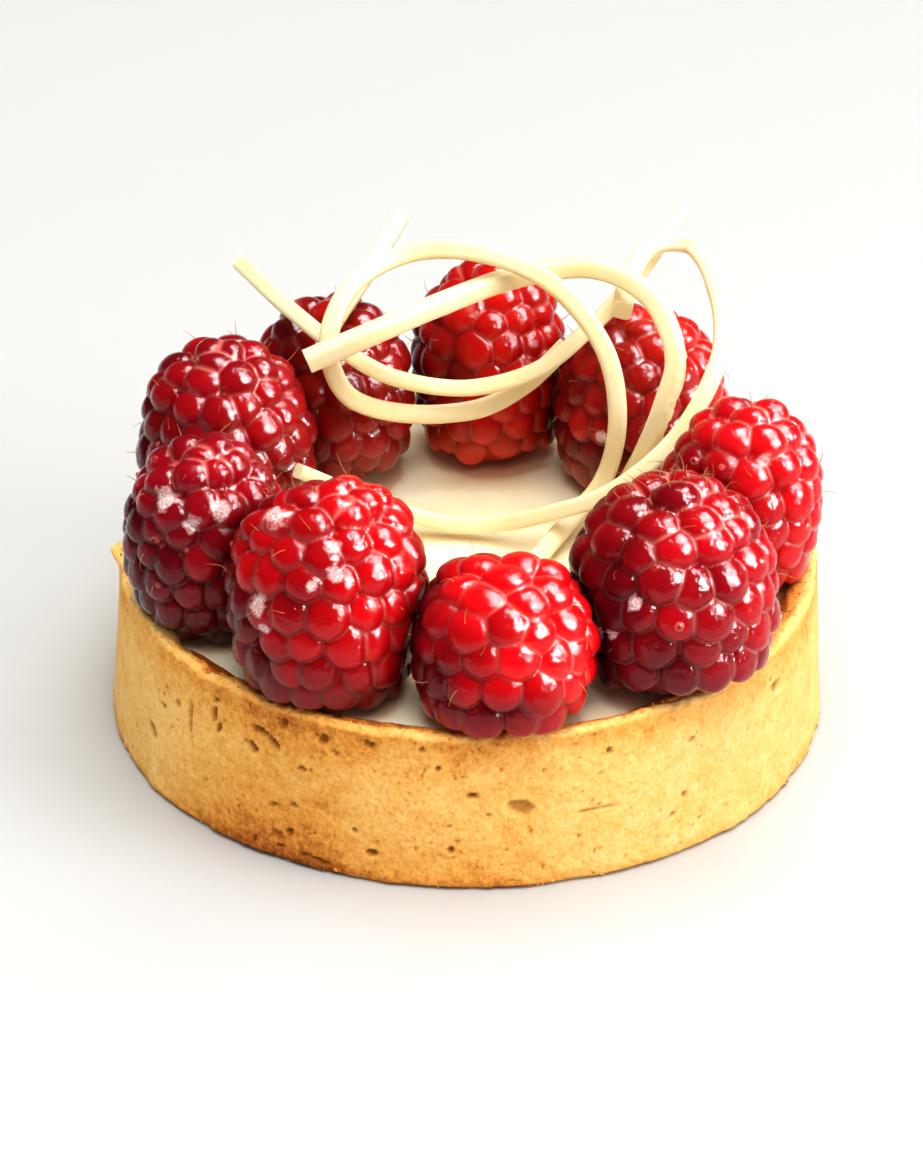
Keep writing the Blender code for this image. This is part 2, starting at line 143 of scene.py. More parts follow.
def make_mesh(name: str, points: np.ndarray, faces: np.ndarray, material: bpy.types.Material,
              values: dict[str, np.ndarray] | None = None) -> bpy.types.Object:
    """Make a smooth mesh object from arrays.

    Args:
        name: The piece's name.
        points: One row a point, in millimetres.
        faces: One row a face, all with the same number of corners.
        material: The material of the whole piece.
        values: Point attributes by name: one number or four (a colour) for each point.

    Returns:
        The object, linked to the scene.
    """
    mesh = bpy.data.meshes.new(name)
    corners = faces.shape[1]
    mesh.vertices.add(len(points))
    mesh.vertices.foreach_set("co", (points * MM).astype(np.float32).ravel())
    mesh.loops.add(faces.size)
    mesh.loops.foreach_set("vertex_index", faces.astype(np.int32).ravel())
    mesh.polygons.add(len(faces))
    mesh.polygons.foreach_set("loop_start", np.arange(0, faces.size, corners, dtype=np.int32))
    mesh.update(calc_edges=True)
    for key, numbers in (values or {}).items():
        kind, field_name = ("FLOAT_COLOR", "color") if numbers.ndim == 2 else ("FLOAT", "value")
        layer = mesh.attributes.new(key, kind, "POINT")
        layer.data.foreach_set(field_name, numbers.astype(np.float32).ravel())
    mesh.validate()
    mesh.shade_smooth()
    mesh.materials.append(material)
    piece = bpy.data.objects.new(name, mesh)
    bpy.context.scene.collection.objects.link(piece)
    return piece


def install(piece: bpy.types.Object, slot: Slot, *nodes: str) -> bpy.types.Object:
    """Let a piece ride on the tart and stand for its solids.

    Args:
        piece: The piece, in place.
        slot: The record's slot; not used.
        nodes: Names of the solids that the piece stands for.

    Returns:
        The piece.
    """
    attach(piece, BODY)
    if nodes:
        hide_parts(*nodes)
    LOG.info("%s: %d faces", piece.name, len(piece.data.polygons))
    return piece


def value_noise(points: np.ndarray, size: float, seed: int) -> np.ndarray:
    """Smooth random values in space.

    Args:
        points: One row a point, in millimetres.
        size: Distance between one random value and the next.
        seed: Seed of the values.

    Returns:
        A value from -1 to 1 for each point.
    """
    table_side = 48
    table = np.random.default_rng(seed).uniform(-1, 1, (table_side,) * 3)
    place = points / size + 0.37 * seed
    base = np.floor(place).astype(int)
    share = place - base
    share = share * share * (3 - 2 * share)
    total = np.zeros(len(points))
    for corner in itertools.product((0, 1), repeat=3):
        weight = np.prod(np.where(corner, share, 1 - share), axis=1)
        cell = (base + corner) % table_side
        total += weight * table[cell[:, 0], cell[:, 1], cell[:, 2]]
    return total


def smooth_step(value: np.ndarray, low: float, high: float) -> np.ndarray:
    """Rise smoothly from 0 at low to 1 at high."""
    share = np.clip((value - low) / (high - low), 0, 1)
    return share * share * (3 - 2 * share)


def bell(value: np.ndarray, middle: float, width: float) -> np.ndarray:
    """A bell that is 1 at its middle and fades over its width."""
    return np.exp(-((value - middle) / width) ** 2)


def blend(weights: Iterable[float], layers: Iterable[np.ndarray]) -> np.ndarray:
    """Sum of some layers, each with its own weight."""
    return sum(weight * layer for weight, layer in zip(weights, layers))


def hermite(start: Any, slope_in: Any, end: Any, slope_out: Any, share: float) -> Any:
    """A point on a smooth curve between two points, which may be vectors or arrays.

    Args:
        start: Where the curve starts.
        slope_in: Its slope there.
        end: Where it ends.
        slope_out: Its slope there.
        share: How far along it the point is, from 0 to 1.

    Returns:
        The point.
    """
    return (start * (2 * share ** 3 - 3 * share ** 2 + 1)
            + slope_in * (share ** 3 - 2 * share ** 2 + share)
            + end * (3 * share ** 2 - 2 * share ** 3) + slope_out * (share ** 3 - share ** 2))


def ring_quads(rings: int, count: int) -> np.ndarray:
    """Quads that join closed rings of points.

    Args:
        rings: Number of rings.
        count: Points in each ring.

    Returns:
        One row a quad.
    """
    ring, spot = np.meshgrid(np.arange(rings - 1), np.arange(count), indexing="ij")
    after = (spot + 1) % count
    low, high = ring * count, (ring + 1) * count
    return np.stack([low + spot, low + after, high + after, high + spot], axis=-1).reshape(-1, 4)


def cap_ends(work: bmesh.types.BMesh, count: int) -> None:
    """Close the first and the last ring of a tube, each with one face.

    Args:
        work: The tube, ring by ring.
        count: Points in each ring.
    """
    work.verts.ensure_lookup_table()
    last = len(work.verts) - count
    work.faces.new([work.verts[i] for i in reversed(range(count))])
    work.faces.new([work.verts[last + i] for i in range(count)])


# ---------------------------------------------------------------- finishes

@dataclass(frozen=True)
class BakedShortcrust:
    """Sweet shortcrust pastry, blind-baked in a ring: matt, fine-grained, browned at its edges."""

    bakes: tuple[tuple[float, str], ...] = (    # colour of the dough from pale to well done
        (0.0, "#FFE2A4"), (0.30, "#FCC872"), (0.52, "#EDA54A"), (0.72, "#BC6C2A"),
        (0.92, "#743A12"))
    # the inside of a pit: browner pastry, and painted shade in the hollow
    pit_brown_and_shade: str = "#9A5A1C"
    glazed: str = "#A04C16"
    grain: float = 0.45       # flour and sugar grains, drawn a little coarser than they are
    speckle: float = 0.9      # toasted flecks of sugar and butter
    mottle: float = 5.0       # patches where the oven browned it more
    fleck: float = 0.8        # dark flecks, far apart
    relief: float = 0.2       # how far grain and crumb stand up
    glow: float = 0.6         # how far light spreads in it
    dry: float = 0.78         # roughness of bare pastry
    damp: float = 0.24        # roughness where glaze has soaked in

    def material(self) -> bpy.types.Material:
        """Make the pastry's material; its browning, with painted shade on its side and in its pits,
        is painted by the crust's own attributes.

        Returns:
            The material.
        """
        material, tree, output = new_material("baked_shortcrust")
        place = add_node(tree, "ShaderNodeTexCoord").outputs["Object"]
        done, pit, wet = (
            add_node(tree, "ShaderNodeAttribute", {"attribute_name": painted}).outputs["Fac"]
            for painted in ("browned_and_shaded", "pit", "wet"))
        tones = ((self.mottle, 0.36), (self.speckle * 2, 0.28), (self.speckle, 0.24),
                 (self.grain, 0.24))
        for size, weight in tones:
            patch = add_node(tree, "ShaderNodeTexNoise", inputs={
                "Vector": place, "Scale": per_size(size), "Detail": 3.0, "Roughness": 0.6})
            centred = add_node(tree, "ShaderNodeMath", {"operation": "SUBTRACT"}, {
                0: patch.outputs["Fac"], 1: 0.5})
            done = add_node(tree, "ShaderNodeMath", {"operation": "MULTIPLY_ADD"}, {
                0: centred.outputs["Value"], 1: weight, 2: done}).outputs["Value"]
        spots = add_node(tree, "ShaderNodeTexNoise", inputs={
            "Vector": place, "Scale": per_size(self.fleck), "Detail": 1.0, "Roughness": 0.5})
        flecks = add_node(tree, "ShaderNodeMapRange", inputs={
            "Value": spots.outputs["Fac"], "From Min": 0.68, "From Max": 0.80, "To Max": 0.22})
        done = add_node(tree, "ShaderNodeMath", {"operation": "ADD"}, {
            0: done, 1: flecks.outputs["Result"]}).outputs["Value"]
        toasted = add_node(tree, "ShaderNodeValToRGB", inputs={"Fac": done})
        while len(toasted.color_ramp.elements) < len(self.bakes):
            toasted.color_ramp.elements.new(0.5)
        for stop, (share, colour) in zip(toasted.color_ramp.elements, self.bakes):
            stop.position = share
            stop.color = linear(colour)
        # pits painted darker: browner pastry, and painted shade in the hollows
        hollow = add_node(tree, "ShaderNodeMix", {"data_type": "RGBA"}, {
            "Factor": pit, "A": toasted.outputs["Color"], "B": linear(self.pit_brown_and_shade)})
        soaked = add_node(tree, "ShaderNodeMix", {"data_type": "RGBA"}, {
            "Factor": wet, "A": hollow.outputs["Result"], "B": linear(self.glazed)})
        grain = add_node(tree, "ShaderNodeTexNoise", inputs={
            "Vector": place, "Scale": per_size(self.grain), "Detail": 4.0, "Roughness": 0.65})
        crumbs = add_node(tree, "ShaderNodeTexVoronoi", inputs={
            "Vector": place, "Scale": per_size(self.grain * 1.6)})
        relief = add_node(tree, "ShaderNodeMath", {"operation": "MULTIPLY_ADD"}, {
            0: crumbs.outputs["Distance"], 1: 0.5, 2: grain.outputs["Fac"]})
        bump = add_node(tree, "ShaderNodeBump", inputs={
            "Height": relief.outputs["Value"], "Strength": 0.75, "Distance": self.relief * MM})
        dryness = add_node(tree, "ShaderNodeMapRange", inputs={
            "Value": wet, "To Min": self.dry, "To Max": self.damp})
        shader = add_node(tree, "ShaderNodeBsdfPrincipled", inputs={
            "Base Color": soaked.outputs["Result"], "Roughness": dryness.outputs["Result"],
            "IOR": 1.45, "Specular IOR Level": 0.12, "Normal": bump.outputs["Normal"],
            "Subsurface Weight": 0.12, "Subsurface Radius": (1.0, 0.55, 0.25),
            "Subsurface Scale": self.glow * MM})
        tree.links.new(shader.outputs["BSDF"], output.inputs["Surface"])
        return material


@dataclass(frozen=True)
class SetCream:
    """Set vanilla cream, poured and smoothed: satin, dense and slightly translucent."""

    ivory: str = "#FFF2D2"
    deeper: str = "#FFE4A4"
    juice_and_shade: str = "#B46A34"    # fruit juice and glaze that have run into it, and painted shade where it meets the fruit
    cloud: float = 9.0        # clouds of the deeper tone
    wave: float = 3.5         # soft waves that the palette knife leaves
    wave_depth: float = 0.2
    glow: float = 2.5         # how far light spreads in it

    def material(self) -> bpy.types.Material:
        """Make the cream's material; run-off from the fruit and painted shade tint it beside the
        fruit.

        Returns:
            The material.
        """
        material, tree, output = new_material("set_cream")
        place = add_node(tree, "ShaderNodeTexCoord").outputs["Object"]
        stain_and_shade = add_node(tree, "ShaderNodeAttribute", {"attribute_name": "stain_and_shade"}).outputs["Fac"]
        cloud = add_node(tree, "ShaderNodeTexNoise", inputs={
            "Vector": place, "Scale": per_size(self.cloud), "Detail": 3.0, "Roughness": 0.5})
        clouded = add_node(tree, "ShaderNodeMapRange", inputs={
            "Value": cloud.outputs["Fac"], "From Min": 0.4, "From Max": 0.75, "To Max": 0.6})
        base = add_node(tree, "ShaderNodeMix", {"data_type": "RGBA"}, {
            "Factor": clouded.outputs["Result"], "A": linear(self.ivory), "B": linear(self.deeper)})
        tinted = add_node(tree, "ShaderNodeMix", {"data_type": "RGBA"}, {
            "Factor": stain_and_shade, "A": base.outputs["Result"], "B": linear(self.juice_and_shade)})
        waves = add_node(tree, "ShaderNodeTexNoise", inputs={
            "Vector": place, "Scale": per_size(self.wave), "Detail": 3.0, "Roughness": 0.45})
        bump = add_node(tree, "ShaderNodeBump", inputs={
            "Height": waves.outputs["Fac"], "Strength": 0.25, "Distance": self.wave_depth * MM})
        shader = add_node(tree, "ShaderNodeBsdfPrincipled", inputs={
            "Base Color": tinted.outputs["Result"], "Roughness": 0.42, "IOR": 1.44,
            "Specular IOR Level": 0.15, "Normal": bump.outputs["Normal"], "Subsurface Weight": 0.6,
            "Subsurface Radius": (1.0, 0.9, 0.6), "Subsurface Scale": self.glow * MM})
        tree.links.new(shader.outputs["BSDF"], output.inputs["Surface"])
        return material


@dataclass(frozen=True)
class RaspberryFlesh:
    """Raspberry drupelets under brushed-on fruit glaze: translucent red with wet, broken shine."""

    seam: str = "#F08478"             # pale seam lines, and painted highlights where the seams face the light and round bubbles
    frost: str = "#FFE6E2"            # dry white bloom
    glaze_lumps: float = 0.9          # the glaze dries in lumps about this far apart
    lump_depth: float = 0.17
    glaze_wrinkles: float = 0.32      # fine wrinkles on the lumps
    wrinkle_depth: float = 0.055
    skin_grain: float = 0.35          # the fruit's skin under the glaze
    skin_depth: float = 0.05
    frost_edges: float = 1.1          # ragged outlines of the bloom
    frost_granules: float = 0.28      # its granules, drawn coarser than they are
    glow: float = 0.8                 # how far light spreads in the flesh

    def material(self) -> bpy.types.Material:
        """Make the fruit's material; its colour with painted light and shade, its seams with
        painted highlights, and its frost are painted on each berry.

        Returns:
            The material.
        """
        material, tree, output = new_material("glazed_raspberry")
        place = add_node(tree, "ShaderNodeTexCoord").outputs["Object"]
        flesh = add_node(tree, "ShaderNodeAttribute", {"attribute_name": "flesh"}).outputs["Color"]
        seam, frost, glazed = (
            add_node(tree, "ShaderNodeAttribute", {"attribute_name": painted}).outputs["Fac"]
            for painted in ("seam", "frost", "glazed"))
        # seams painted pale, with painted highlights
        pale = add_node(tree, "ShaderNodeMix", {"data_type": "RGBA"}, {
            "Factor": seam, "A": flesh, "B": linear(self.seam)})
        frost_edge = add_node(tree, "ShaderNodeTexNoise", inputs={
            "Vector": place, "Scale": per_size(self.frost_edges), "Detail": 2.0,
            "Roughness": 0.6})
        frost_grain = add_node(tree, "ShaderNodeTexNoise", inputs={
            "Vector": place, "Scale": per_size(self.frost_granules), "Detail": 2.0,
            "Roughness": 0.7})
        ragged = add_node(tree, "ShaderNodeMath", {"operation": "MULTIPLY_ADD"}, {
            0: frost_edge.outputs["Fac"], 1: 1.1, 2: frost})
        patches = add_node(tree, "ShaderNodeMapRange", inputs={
            "Value": ragged.outputs["Value"], "From Min": 1.02, "From Max": 1.38})
        granules = add_node(tree, "ShaderNodeMapRange", inputs={
            "Value": frost_grain.outputs["Fac"], "From Min": 0.38, "From Max": 0.62,
            "To Min": 0.34, "To Max": 0.90})
        frosted = add_node(tree, "ShaderNodeMath", {"operation": "MULTIPLY"}, {
            0: patches.outputs["Result"], 1: granules.outputs["Result"]})
        coloured = add_node(tree, "ShaderNodeMix", {"data_type": "RGBA"}, {
            "Factor": frosted.outputs["Value"], "A": pale.outputs["Result"],
            "B": linear(self.frost)})
        lumps = add_node(tree, "ShaderNodeTexNoise", inputs={
            "Vector": place, "Scale": per_size(self.glaze_lumps), "Detail": 1.0,
            "Roughness": 0.4, "Distortion": 0.5})
        grain = add_node(tree, "ShaderNodeTexNoise", inputs={
            "Vector": place, "Scale": per_size(self.skin_grain), "Detail": 2.0})
        skin = add_node(tree, "ShaderNodeBump", inputs={
            "Height": grain.outputs["Fac"], "Strength": 0.25, "Distance": self.skin_depth * MM})
        lumpy = add_node(tree, "ShaderNodeBump", inputs={
            "Height": lumps.outputs["Fac"], "Strength": 1.0,
            "Distance": self.lump_depth * MM})
        wrinkles = add_node(tree, "ShaderNodeTexNoise", inputs={
            "Vector": place, "Scale": per_size(self.glaze_wrinkles), "Detail": 2.0,
            "Roughness": 0.6})
        glaze = add_node(tree, "ShaderNodeBump", inputs={
            "Height": wrinkles.outputs["Fac"], "Strength": 1.0,
            "Distance": self.wrinkle_depth * MM, "Normal": lumpy.outputs["Normal"]})
        shader = add_node(tree, "ShaderNodeBsdfPrincipled", inputs={
            "Base Color": coloured.outputs["Result"], "Roughness": 0.3, "IOR": 1.40,
            "Specular IOR Level": 0.05, "Normal": skin.outputs["Normal"],
            "Subsurface Weight": 0.3, "Subsurface Radius": (1.0, 0.08, 0.05),
            "Subsurface Scale": self.glow * MM, "Coat Weight": glazed, "Coat Roughness": 0.03,
            "Coat IOR": 1.38, "Coat Normal": glaze.outputs["Normal"]})
        tree.links.new(shader.outputs["BSDF"], output.inputs["Surface"])
        return material


@dataclass(frozen=True)
class WhiteChocolate:
    """Tempered white chocolate, piped and set in curls: ivory, satin and faintly waxy."""

    ivory: str = "#FAECC4"
    butter: str = "#F2E2A4"
    cloud: float = 7.0        # clouds of the butter tone
    grain: float = 0.6        # faint unevenness, and the broken grain of a rough side
    grain_depth: float = 0.12
    glow: float = 1.2         # how far light spreads in it

    def material(self) -> bpy.types.Material:
        """Make the chocolate's material.

        Returns:
            The material.
        """
        material, tree, output = new_material("white_chocolate")
        place = add_node(tree, "ShaderNodeTexCoord").outputs["Object"]
        cloud = add_node(tree, "ShaderNodeTexNoise", inputs={
            "Vector": place, "Scale": per_size(self.cloud), "Detail": 3.0, "Roughness": 0.5})
        clouded = add_node(tree, "ShaderNodeMapRange", inputs={
            "Value": cloud.outputs["Fac"], "From Min": 0.35, "From Max": 0.7, "To Max": 0.7})
        base = add_node(tree, "ShaderNodeMix", {"data_type": "RGBA"}, {
            "Factor": clouded.outputs["Result"], "A": linear(self.ivory), "B": linear(self.butter)})
        grain = add_node(tree, "ShaderNodeTexNoise", inputs={
            "Vector": place, "Scale": per_size(self.grain), "Detail": 3.0, "Roughness": 0.6})
        rough = add_node(tree, "ShaderNodeAttribute", {"attribute_name": "rough"}).outputs["Fac"]
        deep = add_node(tree, "ShaderNodeMapRange", inputs={
            "Value": rough, "To Min": 0.12, "To Max": 1.0})
        bump = add_node(tree, "ShaderNodeBump", inputs={
            "Height": grain.outputs["Fac"], "Strength": deep.outputs["Result"],
            "Distance": self.grain_depth * MM})
        shader = add_node(tree, "ShaderNodeBsdfPrincipled", inputs={
            "Base Color": base.outputs["Result"], "Roughness": 0.38, "IOR": 1.46,
            "Specular IOR Level": 0.2, "Normal": bump.outputs["Normal"], "Subsurface Weight": 0.5,
            "Subsurface Radius": (1.0, 0.95, 0.6), "Subsurface Scale": self.glow * MM})
        tree.links.new(shader.outputs["BSDF"], output.inputs["Surface"])
        return material


@dataclass(frozen=True)
class FruitGlaze:
    """Apricot glaze that has run off the fruit: a clear amber gel, wet and smooth."""

    amber: str = "#A45418"
    lumps: float = 1.3        # it sets in lumps about this far apart
    lump_depth: float = 0.35

    def material(self) -> bpy.types.Material:
        """Make the gel's material.

        Returns:
            The material.
        """
        material, tree, output = new_material("apricot_glaze")
        place = add_node(tree, "ShaderNodeTexCoord").outputs["Object"]
        lumps = add_node(tree, "ShaderNodeTexNoise", inputs={
            "Vector": place, "Scale": per_size(self.lumps), "Detail": 2.0})
        bump = add_node(tree, "ShaderNodeBump", inputs={
            "Height": lumps.outputs["Fac"], "Strength": 1.0, "Distance": self.lump_depth * MM})
        shader = add_node(tree, "ShaderNodeBsdfPrincipled", inputs={
            "Base Color": linear(self.amber), "Roughness": 0.08, "IOR": 1.43,
            "Transmission Weight": 0.35, "Normal": bump.outputs["Normal"],
            "Coat Weight": 1.0, "Coat Roughness": 0.03})
        tree.links.new(shader.outputs["BSDF"], output.inputs["Surface"])
        return material


@dataclass(frozen=True)
class DriedStyle:
    """The dry hairs that stay on a raspberry: thin, tan fibres with a soft sheen."""

    tan: str = "#DDA05E"
    rust: str = "#A85A28"
    change: float = 2.0       # length over which the tone changes
    glow: float = 0.1         # how far light spreads in a fibre

    def material(self) -> bpy.types.Material:
        """Make the hairs' material.

        Returns:
            The material.
        """
        material, tree, output = new_material("dried_style")
        place = add_node(tree, "ShaderNodeTexCoord").outputs["Object"]
        change = add_node(tree, "ShaderNodeTexNoise", inputs={
            "Vector": place, "Scale": per_size(self.change), "Detail": 2.0})
        base = add_node(tree, "ShaderNodeMix", {"data_type": "RGBA"}, {
            "Factor": change.outputs["Fac"], "A": linear(self.tan), "B": linear(self.rust)})
        shader = add_node(tree, "ShaderNodeBsdfPrincipled", inputs={
            "Base Color": base.outputs["Result"], "Roughness": 0.5, "Specular IOR Level": 0.2,
            "Subsurface Weight": 0.1, "Subsurface Scale": self.glow * MM})
        tree.links.new(shader.outputs["BSDF"], output.inputs["Surface"])
        return material


@dataclass(frozen=True)
class StudioSweep:
    """A matt white studio sweep."""

    white: str = "#C1C1BF"

    def material(self) -> bpy.types.Material:
        """Make the floor's material.

        Returns:
            The material.
        """
        material, tree, output = new_material("studio_sweep")
        shader = add_node(tree, "ShaderNodeBsdfPrincipled", inputs={
            "Base Color": linear(self.white), "Roughness": 0.9, "Specular IOR Level": 0.1})
        tree.links.new(shader.outputs["BSDF"], output.inputs["Surface"])
        return material


# ---------------------------------------------------------------- crust

@dataclass(frozen=True)
class RimMark:
    """A place where the rim of the crust stands out, folds in or is nicked."""

    angle: float
    half_width: float            # in degrees
    rise: float                  # how far the crest stands up there
    outward: float               # how far the edge stands out
    inward: float                # how much thicker the shoulder is


@dataclass(frozen=True)
class Pit:
    """A hollow that a bubble or a crumb left in the wall of the crust."""

    angle: float
    height: float                # above the underside
    width: float
    tall: float
    depth: float
    tilt: float = 0.0            # in degrees
    dark: float = 1.0            # how dark it is painted inside: browner pastry and painted shade


RIM_MARKS = (
    RimMark(angle=181, half_width=4.0, rise=0.5, outward=1.0, inward=0.0),    # lip
    RimMark(angle=186, half_width=2.5, rise=-0.4, outward=-0.2, inward=0.0),  # tear beside the lip
    RimMark(angle=206, half_width=7.0, rise=0.2, outward=0.0, inward=1.9),    # flap folded inwards
    RimMark(angle=223, half_width=1.8, rise=-0.7, outward=-0.2, inward=-0.4),  # nick
    RimMark(angle=230, half_width=5.0, rise=0.1, outward=0.0, inward=0.5),    # thick shoulder
    RimMark(angle=237, half_width=1.8, rise=-0.5, outward=-0.2, inward=0.0),  # nick
    RimMark(angle=268, half_width=9.0, rise=-0.3, outward=0.1, inward=0.0),   # worn low stretch
    RimMark(angle=312, half_width=8.0, rise=-0.3, outward=0.0, inward=0.3),   # low under a berry
    RimMark(angle=350, half_width=9.0, rise=0.2, outward=0.0, inward=0.5),
    RimMark(angle=62, half_width=6.0, rise=0.35, outward=0.1, inward=0.3),
    RimMark(angle=118, half_width=3.0, rise=-0.5, outward=-0.1, inward=0.0),
)

PITS = (
    Pit(213.5, 11.3, 1.2, 0.5, 0.35), Pit(217.5, 12.8, 1.0, 0.9, 0.35, 20),
    Pit(220.9, 12.2, 0.75, 4.7, 0.45, 0, 0.8),                            # upright groove
    Pit(197.0, 13.5, 0.8, 2.6, 0.2, 0, 0.4), Pit(226.8, 16.0, 0.8, 0.6, 0.3),
    Pit(226.6, 14.3, 0.9, 2.0, 0.45, -8), Pit(227.6, 12.9, 0.8, 1.4, 0.35, -25),
    Pit(210.5, 7.0, 2.3, 1.5, 0.4, -35, 0.7), Pit(231.5, 16.3, 0.6, 0.4, 0.25),
    Pit(236.0, 14.7, 2.3, 1.0, 0.6, -5), Pit(238.6, 13.9, 2.2, 1.0, 0.6, -38),   # crescent
    Pit(234.7, 12.4, 1.6, 1.1, 0.6, -20), Pit(240.4, 16.7, 1.1, 1.5, 0.4, -30),
    Pit(247.4, 16.0, 1.3, 1.5, 0.45, -20), Pit(249.4, 14.8, 1.4, 0.7, 0.2, -10, 0.8),
    Pit(254.9, 16.4, 1.6, 0.9, 0.45, -15), Pit(243.9, 11.9, 1.0, 0.6, 0.3),
    Pit(239.1, 6.6, 1.0, 0.5, 0.3), Pit(242.7, 7.2, 1.1, 0.6, 0.35, -15),
    Pit(239.6, 3.1, 1.8, 1.1, 0.25, 0, 0.7), Pit(241.9, 3.7, 0.9, 1.0, 0.5, 10),
    Pit(255.9, 3.6, 1.5, 0.9, 0.5), Pit(252.9, 6.0, 0.6, 0.5, 0.25),
    Pit(235.6, 1.5, 0.4, 1.5, 0.35, -20), Pit(240.4, 1.8, 1.3, 0.35, 0.35, -12),
    Pit(244.6, 1.7, 1.4, 0.5, 0.4, 5), Pit(247.3, 1.4, 2.0, 0.35, 0.35, -10),
    Pit(263.2, 16.6, 0.9, 0.5, 0.3), Pit(265.7, 14.4, 0.6, 0.6, 0.3),
    Pit(271.0, 11.2, 1.4, 0.7, 0.35), Pit(267.9, 4.8, 1.0, 0.8, 0.4),
    Pit(278.4, 9.6, 3.0, 1.9, 0.55, -8, 0.5),                             # round dimple
    Pit(291.1, 8.5, 5.5, 0.3, 0.2, 2, 0.5), Pit(292.7, 15.0, 0.9, 0.9, 0.3, 0, 0.8),
    Pit(307.9, 13.4, 0.8, 0.6, 0.3, 0, 0.7), Pit(306.1, 7.1, 0.7, 0.9, 0.3, 0, 0.7),
    Pit(303.9, 5.2, 0.9, 0.5, 0.3, 0, 0.7),
)

# Waves round the crust: size, number of waves and phase of each.
CREST_WAVES = ((0.14, 2, 0.6), (0.10, 5, 1.9), (0.08, 11, 0.3), (0.05, 23, 2.1))
EDGE_WAVES = ((0.10, 3, 1.2), (0.08, 8, 0.4), (0.05, 19, 0.0))
SHOULDER_WAVES = ((0.18, 4, 2.2), (0.12, 13, 0.8))
FOOT_WAVES = ((0.06, 7, 0.5), (0.04, 17, 1.1), (0.06, 31, 0.0))
BELLY_WAVES = ((0.07, 3, 2.0), (0.05, 9, 0.0))


def wavy(turn: np.ndarray, waves: Iterable[tuple[float, int, float]]) -> np.ndarray:
    """Sum of waves round the crust.

    Args:
        turn: Turns in radians.
        waves: Size, number of waves and phase of each.

    Returns:
        The sum at each turn.
    """
    return sum(size * np.sin(count * turn + phase) for size, count, phase in waves)


